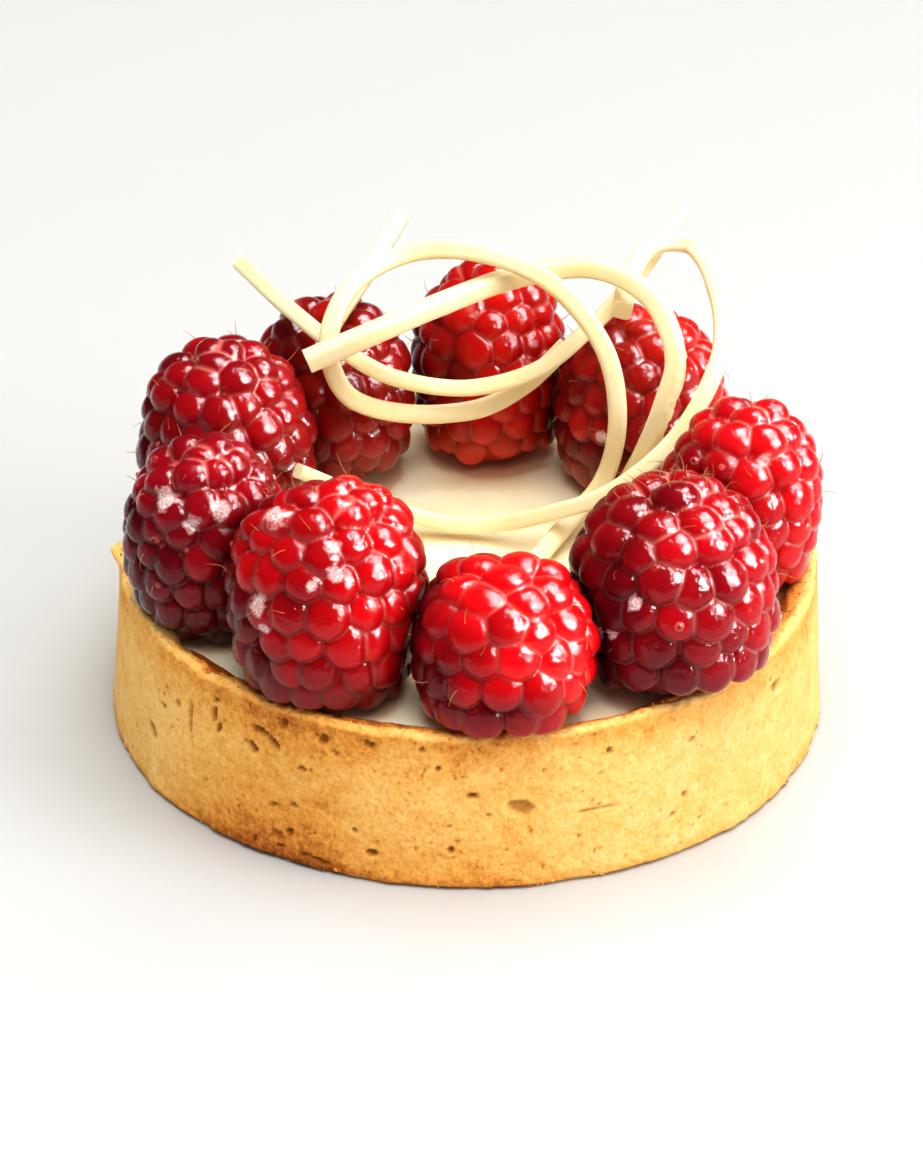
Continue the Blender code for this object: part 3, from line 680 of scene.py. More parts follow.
@dataclass
class Crust:
    """The shortcrust ring: wall, broken rim, shoulder and closed floor.

    Its section runs through ten corners: 0 the underside's edge, 1 the top of the foot's bevel,
    2 the belly, 3 the start of the rim, 4 its outer edge, 5 the crest, 6 the slope behind it, 7 the
    shoulder, 8 just above the cream and 9 the floor.  A place along it is given by these numbers.
    """

    base_radius: float = 40.0
    rim_radius: float = 38.9
    height: float = 18.3
    floor: float = 3.0
    inner_radius: float = 36.3
    shoulder: float = 17.6       # level of the shoulder inside the rim
    foot_height: float = 0.5
    foot_bevel: float = 0.5
    belly_height: float = 8.2
    rim_straight: float = 2.2    # the rim starts this far below the crest
    edge_drop: float = 0.45      # the outer edge lies this far below the crest
    edge_inset: float = 0.1
    crest_inset: float = 0.6
    slope_inset: float = 1.5
    slope_drop: float = 0.12
    most_outward: float = 1.2    # no crag stands further out than this
    segments: int = 960          # points in each ring
    steps: tuple[int, ...] = (2, 30, 30, 9, 4, 6, 9, 3, 1)  # rings in each stretch of the section
    rounded: tuple[int, ...] = (3, 4, 5, 6)      # stretches that curve
    roundness: float = 0.8       # how fully they do
    random_pits: int = 210
    known_side: tuple[float, float] = (195, 325)  # its large pits are given one by one
    pit_ragged: float = 0.28     # how uneven the edge of a pit is
    pit_deepened: float = 1.5    # pits are drawn this much deeper, so that they show
    pit_shade_and_brown: float = 0.85    # how dark they are painted at most: browner pastry and painted shade
    seed: int = 5
    textures: tuple[float, ...] = (7.0, 2.2, 0.9, 0.45)  # sizes of swell, lumps, crumb and grit
    wall_relief: tuple[float, ...] = (0.10, 0.07, 0.045, 0.035)  # height of each on the wall
    edge_relief: tuple[float, ...] = (0.0, 0.10, 0.12, 0.08)     # outwards on the rim
    crest_relief: tuple[float, ...] = (0.0, 0.16, 0.22, 0.14)    # upwards on the rim
    foot_relief: tuple[float, ...] = (0.0, 0.12, 0.22, 0.14)     # outwards on the foot
    browned_and_shaded: float = 0.25        # by the oven, all over
    browned_top: float = 0.18    # more just below the crest
    browned_crest: float = 0.30
    browned_shoulder: float = 0.22
    browned_foot: float = 0.14
    side_shade_below: float = 1.3   # how much stronger the painted shade on those sides is near the foot
    # Painted shade: the wall is painted browner on its front and left: how much, the angle and the
    # width.
    shaded_sides: tuple[tuple[float, ...], ...] = ((0.18, 240, 20), (0.08, 274, 14))
    pale_flap: float = 0.34      # how much less the flap is browned
    flap: tuple[float, float] = (207, 6)         # the pale flap: its angle and its width
    # Most glaze has run on to the shoulder here: the angle and the width.
    soaked: tuple[tuple[float, float], ...] = ((226, 17), (345, 17))
    finish: BakedShortcrust = field(default_factory=BakedShortcrust)

    def rim_shape(self, degrees: np.ndarray) -> tuple[np.ndarray, np.ndarray, np.ndarray]:
        """Shape of the rim at some angles.

        Args:
            degrees: The angles.

        Returns:
            Height of the crest, reach outwards and thickness of the shoulder.
        """
        turn = np.radians(degrees)
        height = self.height + wavy(turn, CREST_WAVES)
        outward = wavy(turn, EDGE_WAVES)
        inward = wavy(turn, SHOULDER_WAVES)
        for mark in RIM_MARKS:
            away = np.abs((degrees - mark.angle + 180) % 360 - 180) / mark.half_width
            weight = np.where(away < 1, np.cos(np.minimum(away, 1) * pi / 2) ** 2, 0)
            height = height + mark.rise * weight
            outward = outward + mark.outward * weight
            inward = inward + mark.inward * weight
        return height, outward, inward

    def sections(self, degrees: np.ndarray) -> np.ndarray:
        """Corners of the crust's section at each angle.

        Args:
            degrees: The angles.

        Returns:
            An array of corner, angle and (radius, height).
        """
        turn = np.radians(degrees)
        height, outward, inward = self.rim_shape(degrees)
        foot = self.base_radius + wavy(turn, FOOT_WAVES)
        belly = wavy(turn, BELLY_WAVES)
        share = self.belly_height / self.height
        middle = self.base_radius * (1 - share) + self.rim_radius * share
        edge = self.rim_radius + outward
        level = np.ones_like(turn)
        corners = (
            (foot - self.foot_bevel, 0 * level),
            (foot, self.foot_height * level),
            (middle + belly, self.belly_height * level),
            (self.rim_radius + belly, (self.height - self.rim_straight) * level),
            (edge - self.edge_inset, height - self.edge_drop),
            (edge - self.crest_inset, height),
            (self.rim_radius - self.slope_inset - 0.4 * inward, height - self.slope_drop),
            (self.inner_radius - np.maximum(inward, -0.2),
             self.shoulder + 0.42 * np.maximum(inward, 0)),
            (self.inner_radius * level, BERRY_BED * level),
            (self.inner_radius * level, self.floor * level),
        )
        return np.array([np.stack(corner, axis=1) for corner in corners])

    def all_pits(self) -> list[Pit]:
        """The pits that show from the front, and small random ones all round.

        Returns:
            The pits.
        """
        draw = np.random.default_rng(self.seed)
        pits = list(PITS)
        for number in range(self.random_pits):
            angle = draw.uniform(0, 360)
            large = number % 6 == 0 and not self.known_side[0] < angle < self.known_side[1]
            size = draw.uniform(0.7, 1.7) if large else draw.uniform(0.22, 0.55)
            pits.append(Pit(angle, draw.uniform(1.0, 17.4), size * draw.uniform(0.8, 1.4), size,
                            size * 0.34, draw.uniform(-40, 40), draw.uniform(0.4, 0.9)))
        return pits

    def pit_depths(self, degrees: np.ndarray, heights: np.ndarray) -> tuple[np.ndarray, np.ndarray]:
        """Depth and darkness of the pits over the wall.

        Args:
            degrees: Angle of each point of the wall.
            heights: Height of each point.

        Returns:
            The depth in millimetres and the darkness from 0 to 1.
        """
        depth = np.zeros_like(heights)
        dark = np.zeros_like(heights)
        ragged = np.stack([degrees * 0.7, heights, 0 * heights], axis=-1).reshape(-1, 3)
        wobble = value_noise(ragged, 0.55, 77).reshape(heights.shape)
        for pit in self.all_pits():
            across = ((degrees - pit.angle + 180) % 360 - 180) * tau / 360 * self.base_radius
            up = heights - pit.height
            tilt = radians(pit.tilt)
            along = across * cos(tilt) + up * sin(tilt)
            over = up * cos(tilt) - across * sin(tilt)
            reach = (np.hypot(along / (pit.width / 2), over / (pit.tall / 2))
                     + self.pit_ragged * wobble)
            bowl = 1 - smooth_step(reach, 0.55, 1.12)
            depth = np.maximum(depth, self.pit_deepened * pit.depth * bowl)
            dark = np.maximum(dark, pit.dark * (1 - smooth_step(reach, 0.68, 1.02)))
        return depth, dark

    def rings(self, degrees: np.ndarray) -> tuple[np.ndarray, np.ndarray]:
        """Rings of points along the section, before they are roughened.

        Args:
            degrees: The angles.

        Returns:
            An array of ring, angle and (radius, height), and each point's place along the section.
        """
        corners = self.sections(degrees)
        rings, path = [], []
        for number, steps in enumerate(self.steps):
            before, start = corners[max(number - 1, 0)], corners[number]
            end, after = corners[number + 1], corners[min(number + 2, len(corners) - 1)]
            slope_in = (end - before) / 2 * self.roundness
            slope_out = (after - start) / 2 * self.roundness
            for step in range(steps):
                share = step / steps
                rings.append(hermite(start, slope_in, end, slope_out, share)
                             if number in self.rounded else start * (1 - share) + end * share)
                path.append(number + share)
        rings.append(corners[-1])
        path.append(len(self.steps))
        return np.array(rings), np.array(path)[:, None] * np.ones(self.segments)

    def bake(self, degrees: np.ndarray, path: np.ndarray, height: np.ndarray,
             lumps: np.ndarray) -> tuple[np.ndarray, np.ndarray]:
        """Where the oven has baked the pastry brown, where shade is painted on its side and where
        glaze has soaked into it.

        Args:
            degrees: The angles.
            path: Place of each point along the section.
            height: Height of each point.
            lumps: Uneven values that break up the glaze.

        Returns:
            How brown, with painted shade, and how wet each point is.
        """
        outside = path < 3
        upper = smooth_step(path, 2.5, 3.3) * (1 - smooth_step(path, 3.8, 4.4))
        flap = bell(degrees, *self.flap)[None, :] * smooth_step(path, 5.3, 6.0)
        # painted shade on the front and left of the wall, strongest near the foot
        side_shade = sum(more * bell(degrees, *where) for more, *where in self.shaded_sides)[None, :]
        browned_and_shaded = (self.browned_and_shaded + side_shade + self.browned_top * upper
                   + self.browned_crest * smooth_step(path, 5.2, 6.0)
                   + self.browned_shoulder * smooth_step(path, 6.3, 7.2) - self.pale_flap * flap
                   + self.browned_foot * (1 - smooth_step(height, 0.2, 2.4)) * outside
                   + self.side_shade_below * side_shade * (1 - smooth_step(height, 1.0, 9.0)) * outside)
        runs = sum(bell(degrees, *where) for where in self.soaked)
        soaked = np.clip(runs + 0.35, 0, 1)[None, :]
        wet = smooth_step(path, 6.2, 6.9) * soaked * (0.75 + 0.25 * lumps) * (1 - flap)
        return browned_and_shaded, np.clip(wet, 0, 1)

    def build(self) -> bpy.types.Object:
        """Build the crust at full detail and dress it.

        Returns:
            The piece.
        """
        degrees = np.linspace(0, 360, self.segments, endpoint=False)
        turn = np.radians(degrees)[None, :]
        rings, path = self.rings(degrees)
        radius, height = rings[..., 0].copy(), rings[..., 1].copy()
        place = np.stack([radius * np.cos(turn), radius * np.sin(turn), height], axis=-1)
        relief = [value_noise(place.reshape(-1, 3), size, seed).reshape(path.shape)
                  for seed, size in enumerate(self.textures, start=1)]
        wall = smooth_step(path, 0.6, 1.1) * (1 - smooth_step(path, 3.2, 4.0))
        rim = smooth_step(path, 3.4, 4.2) * (1 - smooth_step(path, 7.2, 8.0))
        foot = 1 - smooth_step(path, 0.6, 1.5)
        depth, dark = self.pit_depths(np.broadcast_to(degrees[None, :], path.shape), height)
        radius += wall * (blend(self.wall_relief, relief) - depth)
        radius += rim * blend(self.edge_relief, relief)
        height += rim * blend(self.crest_relief, relief)
        radius += foot * smooth_step(height, 0.05, 0.4) * blend(self.foot_relief, relief)
        radius = np.minimum(radius, self.base_radius + self.most_outward)
        points = np.stack([radius * np.cos(turn), radius * np.sin(turn), np.maximum(height, 0)],
                          axis=-1).reshape(-1, 3)
        browned_and_shaded, wet = self.bake(degrees, path, height, relief[1])
        values = {"browned_and_shaded": browned_and_shaded.ravel(), "pit": (dark * wall * self.pit_shade_and_brown).ravel(),
                  "wet": wet.ravel()}
        quads = ring_quads(len(rings), self.segments)
        piece = make_mesh("shortcrust_case", points, quads, self.finish.material(), values)
        self.close(piece, len(rings))
        return install(piece, Slot.CRUST, "crust")

    def close(self, piece: bpy.types.Object, rings: int) -> None:
        """Close the underside and the floor of the case.

        Args:
            piece: The case, open at both ends.
            rings: Number of rings in its section.
        """
        work = bmesh.new()
        work.from_mesh(piece.data)
        for start, level, turn in ((0, 0.0, -1), ((rings - 1) * self.segments, self.floor, 1)):
            work.verts.ensure_lookup_table()
            ring = [work.verts[start + i] for i in range(self.segments)]
            centre = work.verts.new((0, 0, level * MM))
            for i, vert in enumerate(ring):
                after = ring[(i + 1) % self.segments]
                work.faces.new((vert, after, centre) if turn > 0 else (after, vert, centre))
        for face in work.faces:
            face.smooth = True
        work.to_mesh(piece.data)
        work.free()


# ---------------------------------------------------------------- raspberries

@dataclass(frozen=True)
class Patch:
    """A patch on a berry: where it is, in degrees seen from the berry's middle."""

    azimuth: float
    elevation: float
    spread: float


@dataclass(frozen=True)
class Raspberry:
    """One raspberry: where it stands, its size and lean, and the tones of its flesh."""

    number: int
    x: float
    y: float
    radius: float
    height: float
    lean: float                      # in degrees
    lean_towards: float              # the side that the tip leans to
    drupelet: float                  # usual width of a drupelet
    seed: int
    deep: str                        # the flesh at its deepest
    bright: str                      # the flesh at its brightest
    painted_lit_side: float               # painted light: the side where the flesh is painted brightest
    foot: str                        # the flesh near the cream: painted shade low on the berry, and the cream's glow painted on to it
    seams: float                     # how pale the seams are painted, mostly a painted highlight on the side that faces the light
    seam_shade: float = 0.3          # how dark the other seams are
    frost: tuple[Patch, ...] = ()    # dry white bloom
    sunken: tuple[Patch, ...] = ()   # where the tip has slumped
    bubbles: int = 3                 # air bubbles in the glaze
    crown: int = 0                   # extra hairs round the tip
    shading: float = 0.52            # painted shade: how much deeper the flesh is painted on the side away from the light

    # Shares of the berry's height:
    belly_level: float = 0.45        # level of its middle
    # Shares of a drupelet's width:
    rise: float = 0.56               # how far a drupelet stands out of the core
    spread: float = 0.60             # its radius at the foot
    sizes: tuple[float, float] = (0.92, 1.10)
    row_pitch: float = 0.86          # from one row to the next
    first_row: float = 0.53          # from the tip to the first row
    last_row: float = 0.35           # from the underside to the last row
    slip: tuple[float, float] = (-0.17, 0.17)    # how far one lies from its place in the row
    # Shape:
    fullness: float = 2.4            # power of a drupelet's dome: higher is fuller
    front: float = 270.0             # the side where the rows are staggered best
    core_powers: tuple[float, float] = (2.2, 2.7)    # of the core's curve above and below
    core_skirt: float = 0.8          # how far the core goes on below the cream, in millimetres

    @property
    def turn(self) -> np.ndarray:
        """The rotation that leans the berry's tip towards its side.

        Returns:
            The rotation as a matrix.
        """
        side = radians(self.lean_towards)
        axis = Vector((-sin(side), cos(side), 0))
        return np.array(Matrix.Rotation(radians(self.lean), 3, axis))

    @property
    def middle(self) -> np.ndarray:
        """The point inside the berry that its surface is measured from."""
        lift = self.height * self.belly_level
        return np.array((self.x, self.y, BERRY_BED)) + self.turn @ np.array((0, 0, lift))

    def core_reach(self, ways: np.ndarray) -> np.ndarray:
        """Distance from the berry's middle to its core.

        Args:
            ways: Unit directions, one a row.

        Returns:
            The distance along each.
        """
        rise = self.rise * self.drupelet
        across = self.radius - rise
        top = self.height * (1 - self.belly_level) - rise
        bottom = self.height * self.belly_level + self.core_skirt
        sideways = np.hypot(ways[:, 0], ways[:, 1])
        tall = np.where(ways[:, 2] > 0, top, bottom)
        power = np.where(ways[:, 2] > 0, *self.core_powers)
        return ((sideways / across) ** power + (np.abs(ways[:, 2]) / tall) ** power) ** (-1 / power)

    def layout(self) -> tuple[np.ndarray, np.ndarray]:
        """Lay the drupelets out in staggered rows.

        Returns:
            Their middles as unit directions from the berry's middle, and their widths.
        """
        draw = np.random.default_rng(self.seed)
        tilts = np.linspace(0, pi, 400)      # from the tip to the underside
        ways = np.stack([np.sin(tilts), 0 * tilts, np.cos(tilts)], axis=1)
        outline = ways * (self.core_reach(ways) + self.rise * self.drupelet * 0.7)[:, None]
        steps = np.linalg.norm(np.diff(outline, axis=0), axis=1)
        lengths = np.concatenate([[0], np.cumsum(steps)])
        row_step = self.drupelet * self.row_pitch
        along = self.drupelet * self.first_row
        placed, row = [], 0
        while True:
            tilt = np.interp(along, lengths, tilts)
            belt = np.interp(tilt, tilts, outline[:, 0])
            below = np.interp(tilt, tilts, outline[:, 2])
            if below < -self.height * self.belly_level + self.last_row * self.drupelet:
                break
            count = max(3, round(tau * belt / self.drupelet))
            start = row % 2 / 2 + draw.uniform(-0.1, 0.1)
            for i in range(count):
                turn = radians(self.front) + tau * (start + i + draw.uniform(*self.slip)) / count
                slip = tilt + draw.uniform(*self.slip) * row_step / max(belt, row_step)
                placed.append((sin(slip) * cos(turn), sin(slip) * sin(turn), cos(slip)))
            along += row_step * draw.uniform(0.94, 1.06)
            row += 1
        sizes = self.drupelet * draw.uniform(*self.sizes, len(placed))
        return np.array(placed), sizes


BERRIES = (
    Raspberry(1, -26.5, 8.0, 10.0, 22.9, 4, 170, 3.9, 11, "#52040C", "#A80A14", 335,
              "#60060C", 0.35, 0.4, bubbles=8, crown=6),
    Raspberry(2, -27.7, -12.6, 9.1, 21.5, 3, 180, 3.6, 12, "#48030E", "#A80A1A", 330,
              "#32040A", 0.3, 0.5, (Patch(234, 49, 15), Patch(285, 46, 13), Patch(262, 38, 12)),
              bubbles=24),
    Raspberry(3, -14.8, -26.4, 10.8, 23.8, 5, 90, 4.0, 13, "#62040C", "#D40812", 330,
              "#700810", 0.4, 0.35, (Patch(210, 61, 13), Patch(227, 15, 14), Patch(277, 54, 9),
                                     Patch(277, 39, 9), Patch(233, 2, 8), Patch(262, 33, 7)),
              (Patch(130, 62, 46),), bubbles=7, crown=10),
    Raspberry(4, 3.8, -32.2, 9.9, 17.8, 9, 90, 4.2, 14, "#66040E", "#F20A14", 0,
              "#B00C1A", 0.5, 0.2, shading=1.0),
    Raspberry(5, 22.3, -23.8, 11.2, 22.8, 6, 120, 4.1, 15, "#50040E", "#BC0A18", 345,
              "#7A0C26", 0.8, 0.45, (Patch(245, 18, 9), Patch(221, -9, 9), Patch(232, -4, 7)),
              bubbles=6, crown=34),
    Raspberry(6, 29.6, -2.0, 9.1, 21.3, 3, 0, 3.8, 16, "#88060F", "#D41018", 340,
              "#CC2028", 0.8, 0.15, (Patch(286, 52, 9),), bubbles=9),
    Raspberry(7, 19.3, 20.8, 10.0, 20.6, 3, 60, 3.9, 17, "#760A0C", "#E42218", 30,
              "#9A4020", 0.4, 0.4, (Patch(243, 0, 10),)),
    Raspberry(8, 2.3, 27.4, 9.2, 23.3, 3, 90, 3.7, 18, "#6C080C", "#D4140E", 320,
              "#E44014", 0.4, 0.3, (Patch(190, 45, 13),)),
    Raspberry(9, -15.0, 21.8, 9.1, 21.6, 4, 160, 3.8, 19, "#50060C", "#A41210", 320,
              "#8C3A1A", 0.3),
)


@dataclass
class RaspberryRing:
    """The ring of raspberries, each a closed mesh with every drupelet, and their dry hairs."""

    berries: tuple[Raspberry, ...] = BERRIES
    subdivisions: int = 7        # of the ball that each berry is drawn out of
    seam_round: float = 0.11     # rounding that the glaze gives the seams
    groove: float = 0.12         # how much deeper the seams are than plain domes that meet
    groove_width: float = 0.36
    glint_width: float = 0.16     # width of the pale line, a painted highlight, in a seam that faces the light
    shade_width: float = 0.4     # width of the shade in the others
    dents: tuple[tuple[float, float], ...] = ((0.045, 1.5), (0.022, 0.75))  # their depth and size
    overlap: float = 0.17        # how much each drupelet leans out over the ones below it
    heights: tuple[float, float] = (0.93, 1.08)  # uneven swelling of the drupelets
    slump: float = 0.9           # how far a sunken patch drops
    pressed_flat: float = 0.6    # a pressed side stays flat while it would curve less than this
    pressed_round: float = 28.0  # twice the radius at which it then curves round its neighbour
    crowding: float = 1.0        # how near a neighbour darkens the flesh
    crowded_shade: float = 0.7   # how much
    squeezed_groove: float = 0.35  # depth of the seams where berries are pressed together
    squeezed_width: float = 0.5
    usual_share: float = 0.40    # share of the bright flesh in the usual tone
    tone_share: float = 0.42     # how much drupelets differ in it
    patch_share: float = 0.32    # how much larger patches do
    patch_size: float = 4.5
    foot_shade_and_glow: float = 0.75      # how strongly that painted shade and glow tint the flesh near the cream
    bubble_sizes: tuple[float, float] = (0.2, 0.42)
    bubble_rise: float = 0.8
    bubble_glint_width: float = 0.07    # width of a bubble's pale outline, a painted highlight
    bubble_glint: float = 0.7
    rim_ledges: tuple[tuple[float, float], ...] = ((34.0, 18.2), (36.5, 19.15))  # radius, level
    glow_side: tuple[float, float, float] = (-0.55, -0.5, -0.67)  # painted glow: each drupelet is painted brighter on this side, where light gathers in it
    light_facing: tuple[float, float, float] = (0.86, -0.1, 0.5)  # painted highlights in the seams show on this side
    hairs: int = 22              # dry hairs on each berry
    hair_radius: float = 0.055
    hair_lengths: tuple[float, float] = (0.9, 2.6)
    hair_lean: float = 0.55
    hair_curl: float = 0.9
    hair_taper: float = 0.75     # how much thinner its tip is
    hair_root: float = 0.25      # how deep it starts in the fruit
    hair_sides: int = 4
    hair_joints: int = 7
    finish: RaspberryFlesh = field(default_factory=RaspberryFlesh)
    hair_finish: DriedStyle = field(default_factory=DriedStyle)

    def directions(self) -> tuple[np.ndarray, np.ndarray]:
        """Spread the points of a berry's surface evenly.

        Returns:
            Unit directions and the triangles between them.
        """
        work = bmesh.new()
        bmesh.ops.create_icosphere(work, subdivisions=self.subdivisions, radius=1.0)
        ways = np.array([vert.co for vert in work.verts])
        faces = np.array([[vert.index for vert in face.verts] for face in work.faces])
        work.free()
        return ways / np.linalg.norm(ways, axis=1)[:, None], faces

    def press(self, berry: Raspberry, ways: np.ndarray,
              reach: np.ndarray) -> tuple[np.ndarray, np.ndarray]:
        """Shorten a berry's reach where the cream, a neighbour or the crust is in the way.

        Args:
            berry: The berry.
            ways: Unit directions in the tart's frame.
            reach: Distance from the berry's middle to its surface.

        Returns:
            The shortened reach, and how crowded each point is by a neighbour, from 0 to 1.
        """
        here = berry.middle
        limits = [(np.array((0.0, 0.0, -1.0)), -BERRY_BED)]
        crowded = np.zeros(len(ways))
        for other in self.berries:
            between = other.middle - here
            distance = np.linalg.norm(between)
            if other is berry or distance > 1.25 * (berry.radius + other.radius):
                continue
            towards = between / distance
            meet = here + between * berry.radius / (berry.radius + other.radius)
            limit = float(towards @ meet) - GAP / 2
            limits.append((towards, limit))
            clear = limit - here @ towards - (ways @ towards) * reach
            crowded = np.maximum(crowded, np.exp(-np.maximum(clear, 0) / self.crowding))
        for towards, limit in limits:
            facing = ways @ towards
            room = np.full(len(ways), np.inf)
            ahead = facing > 1e-6
            room[ahead] = (limit - here @ towards) / facing[ahead]
            if towards[2] > -0.9:    # a neighbour, not the cream
                aside = ways[ahead] * room[ahead, None] - towards * (limit - here @ towards)
                square = aside[:, 0] ** 2 + aside[:, 1] ** 2 + np.maximum(aside[:, 2], 0) ** 2
                spill = np.clip(square / self.pressed_round - self.pressed_flat, 0, 2.0)
                room[ahead] += spill / facing[ahead]
            reach = np.minimum(reach, room)
        return self.clear_rim(here, ways, reach), crowded

    def clear_rim(self, here: np.ndarray, ways: np.ndarray, reach: np.ndarray) -> np.ndarray:
        """Shorten a berry's reach where the rim of the crust is in the way.

        Args:
            here: The berry's middle.
            ways: Unit directions in the tart's frame.
            reach: Distance from the middle to the surface.

        Returns:
            The shortened reach.
        """
        for radius, height in self.rim_ledges:
            square = (ways[:, :2] ** 2).sum(axis=1)
            along = ways[:, :2] @ here[:2]
            spare = radius ** 2 - here[:2] @ here[:2]
            root = np.sqrt(np.maximum(along ** 2 + square * spare, 0))
            out = (root - along) / np.maximum(square, 1e-9)
            down = np.full(len(ways), np.inf)
            falling = ways[:, 2] < -1e-6
            down[falling] = (here[2] - height) / -ways[falling, 2]
            reach = np.minimum(reach, np.maximum(out, down))
        return reach

    def flesh(self, berry: Raspberry, tone: np.ndarray, world: np.ndarray,
              points: np.ndarray) -> np.ndarray:
        """Colour of a berry's flesh at each point, with painted light, shade and glow.

        Args:
            berry: The berry.
            tone: Tone of the drupelet that each point is on, from 0 to 1.
            world: Unit directions from the berry's middle.
            points: The points.

        Returns:
            One linear colour a point.
        """
        # painted light and shade: brighter towards the berry's lit side and its top, deeper away
        # from them
        side = radians(berry.painted_lit_side)
        light_facing = world @ np.array((cos(side), sin(side), 0.6)) / 1.17
        patch = value_noise(points, self.patch_size, berry.seed + 40)
        share = (self.usual_share + berry.shading * light_facing + self.tone_share * (tone - 0.5)
                 + self.patch_share * patch)
        share = np.clip(share, 0, 1)[:, None]
        deep, bright, foot = (np.array(linear(c)) for c in (berry.deep, berry.bright, berry.foot))
        colour = deep * (1 - share) + bright * share
        # painted shade, and the cream's painted glow, low on the berry
        low = 1 - smooth_step(points[:, 2], BERRY_BED + 1.0, BERRY_BED + 0.36 * berry.height)
        low = (low * self.foot_shade_and_glow)[:, None]
        return colour * (1 - low) + foot * low

    def patched(self, patches: Iterable[Patch], world: np.ndarray) -> np.ndarray:
        """How much each direction lies in some patches.

        Args:
            patches: The patches.
            world: Unit directions from the berry's middle.

        Returns:
            From 0 outside to 1 in the middle of a patch, for each direction.
        """
        inside = np.zeros(len(world))
        for patch in patches:
            turn, lift = radians(patch.azimuth), radians(patch.elevation)
            towards = np.array((cos(lift) * cos(turn), cos(lift) * sin(turn), sin(lift)))
            away = np.degrees(np.arccos(np.clip(world @ towards, -1, 1)))
            inside = np.maximum(inside, 1 - smooth_step(away, 0, patch.spread))
        return inside

    def blow_bubbles(self, berry: Raspberry, world: np.ndarray,
                     reach: np.ndarray) -> tuple[np.ndarray, np.ndarray]:
        """Air bubbles that have set in a berry's glaze.

        Args:
            berry: The berry.
            world: Unit directions from the berry's middle.
            reach: Distance along each to the fruit.

        Returns:
            How far the bubbles stand out, and their pale outlines, a painted highlight, from 0 to
            1.
        """
        draw = np.random.default_rng(berry.seed + 400)
        points = world * reach[:, None]
        high = np.flatnonzero(world[:, 2] > -0.2)
        proud = np.zeros(len(world))
        outline = np.zeros(len(world))
        for spot in draw.choice(high, berry.bubbles, replace=False):
            size = draw.uniform(*self.bubble_sizes)
            away = np.linalg.norm(points - points[spot], axis=1)
            dome = self.bubble_rise * np.sqrt(np.maximum(size ** 2 - away ** 2, 0))
            proud = np.maximum(proud, dome)
            outline = np.maximum(outline, bell(away, size, self.bubble_glint_width))
        return proud, outline

    def swell(self, berry: Raspberry, ways: np.ndarray, placed: np.ndarray, sizes: np.ndarray,
              swelling: np.ndarray) -> tuple[np.ndarray, np.ndarray, np.ndarray, np.ndarray]:
        """Swell the drupelets out of a berry's core, each leaning out over the ones below it.

        Args:
            berry: The berry.
            ways: Unit directions of its points.
            placed: Unit directions of the drupelets' middles.
            sizes: Width of each drupelet.
            swelling: How much each stands out, against the usual one.

        Returns:
            For each point its distance from the berry's middle, the number of the drupelet that
            it is on, its distance from the nearest seam, and where it lies from the drupelet's
            middle.
        """
        core = berry.core_reach(ways)
        surface = ways * core[:, None]
        middles = placed * berry.core_reach(placed)[:, None]
        apart = np.linalg.norm(surface[:, None] - middles[None], axis=2)
        share = np.clip(apart / (berry.spread * sizes), 0, 1)
        belt = np.maximum(np.hypot(placed[:, 0], placed[:, 1]), 1e-6)
        away_from_tip = np.stack([placed[:, 0] * placed[:, 2] / belt,
                                  placed[:, 1] * placed[:, 2] / belt, -belt], axis=1)
        offsets = surface @ away_from_tip.T - (middles * away_from_tip).sum(axis=1)
        lean = self.overlap * np.clip(offsets / (berry.spread * sizes), -1, 1)
        domes = (berry.rise * swelling + lean) * sizes * np.sqrt(1 - share ** berry.fullness)
        highest = domes.max(axis=1)
        soft = np.exp((domes - highest[:, None]) / self.seam_round).sum(axis=1)
        order = np.sort(domes, axis=1)
        nearest = np.argmax(domes, axis=1)
        return (core + highest + self.seam_round * np.log(soft), nearest,
                (order[:, -1] - order[:, -2]) * 0.8, surface - middles[nearest])

    def build_one(self, berry: Raspberry, ways: np.ndarray, faces: np.ndarray,
                  material: bpy.types.Material) -> tuple[np.ndarray, np.ndarray]:
        """Build one berry.

        Args:
            berry: The berry.
            ways: Unit directions of its points.
            faces: Triangles between them.
            material: The glazed flesh.

        Returns:
            Where hairs grow and their outward directions: the drupelets' tips, then the crown.
        """
        draw = np.random.default_rng(berry.seed + 100)
        placed, sizes = berry.layout()
        swelling = draw.uniform(*self.heights, len(placed))
        reach, nearest, edge, across = self.swell(berry, ways, placed, sizes, swelling)
        world = ways @ berry.turn.T
        rough = berry.middle + world * reach[:, None]
        reach -= self.groove * bell(edge, 0, self.groove_width)
        reach -= self.slump * self.patched(berry.sunken, world)
        reach += smooth_step(edge, 0.1, 0.9) * sum(
            depth * value_noise(rough, size, berry.seed + i)
            for i, (depth, size) in enumerate(self.dents))
        proud, outline = self.blow_bubbles(berry, world, reach)
        reach, crowded = self.press(berry, world, reach + proud)
        reach -= self.squeezed_groove * crowded ** 4 * bell(edge, 0, self.squeezed_width)
        points = berry.middle + world * reach[:, None]
        tones = draw.uniform(0, 1, len(placed))
        # painted highlights in the seams that face the light, and paler lines round the tip
        glint_side = smooth_step(world @ np.array(self.light_facing), -0.1, 0.75)
        tip = smooth_step(world[:, 2], 0.70, 0.95)
        pale = bell(edge, 0, self.glint_width) * (
            berry.seams * (0.2 + 0.8 * glint_side) + 0.35 * tip)
        flesh = self.flesh(berry, tones[nearest], world, points)
        shaded = berry.seam_shade * (1 - 0.6 * np.maximum(glint_side, tip))
        flesh *= 1 - (shaded * bell(edge, 0, self.shade_width))[:, None]
        flesh *= 1 - (self.crowded_shade * crowded)[:, None]
        across = across @ berry.turn.T
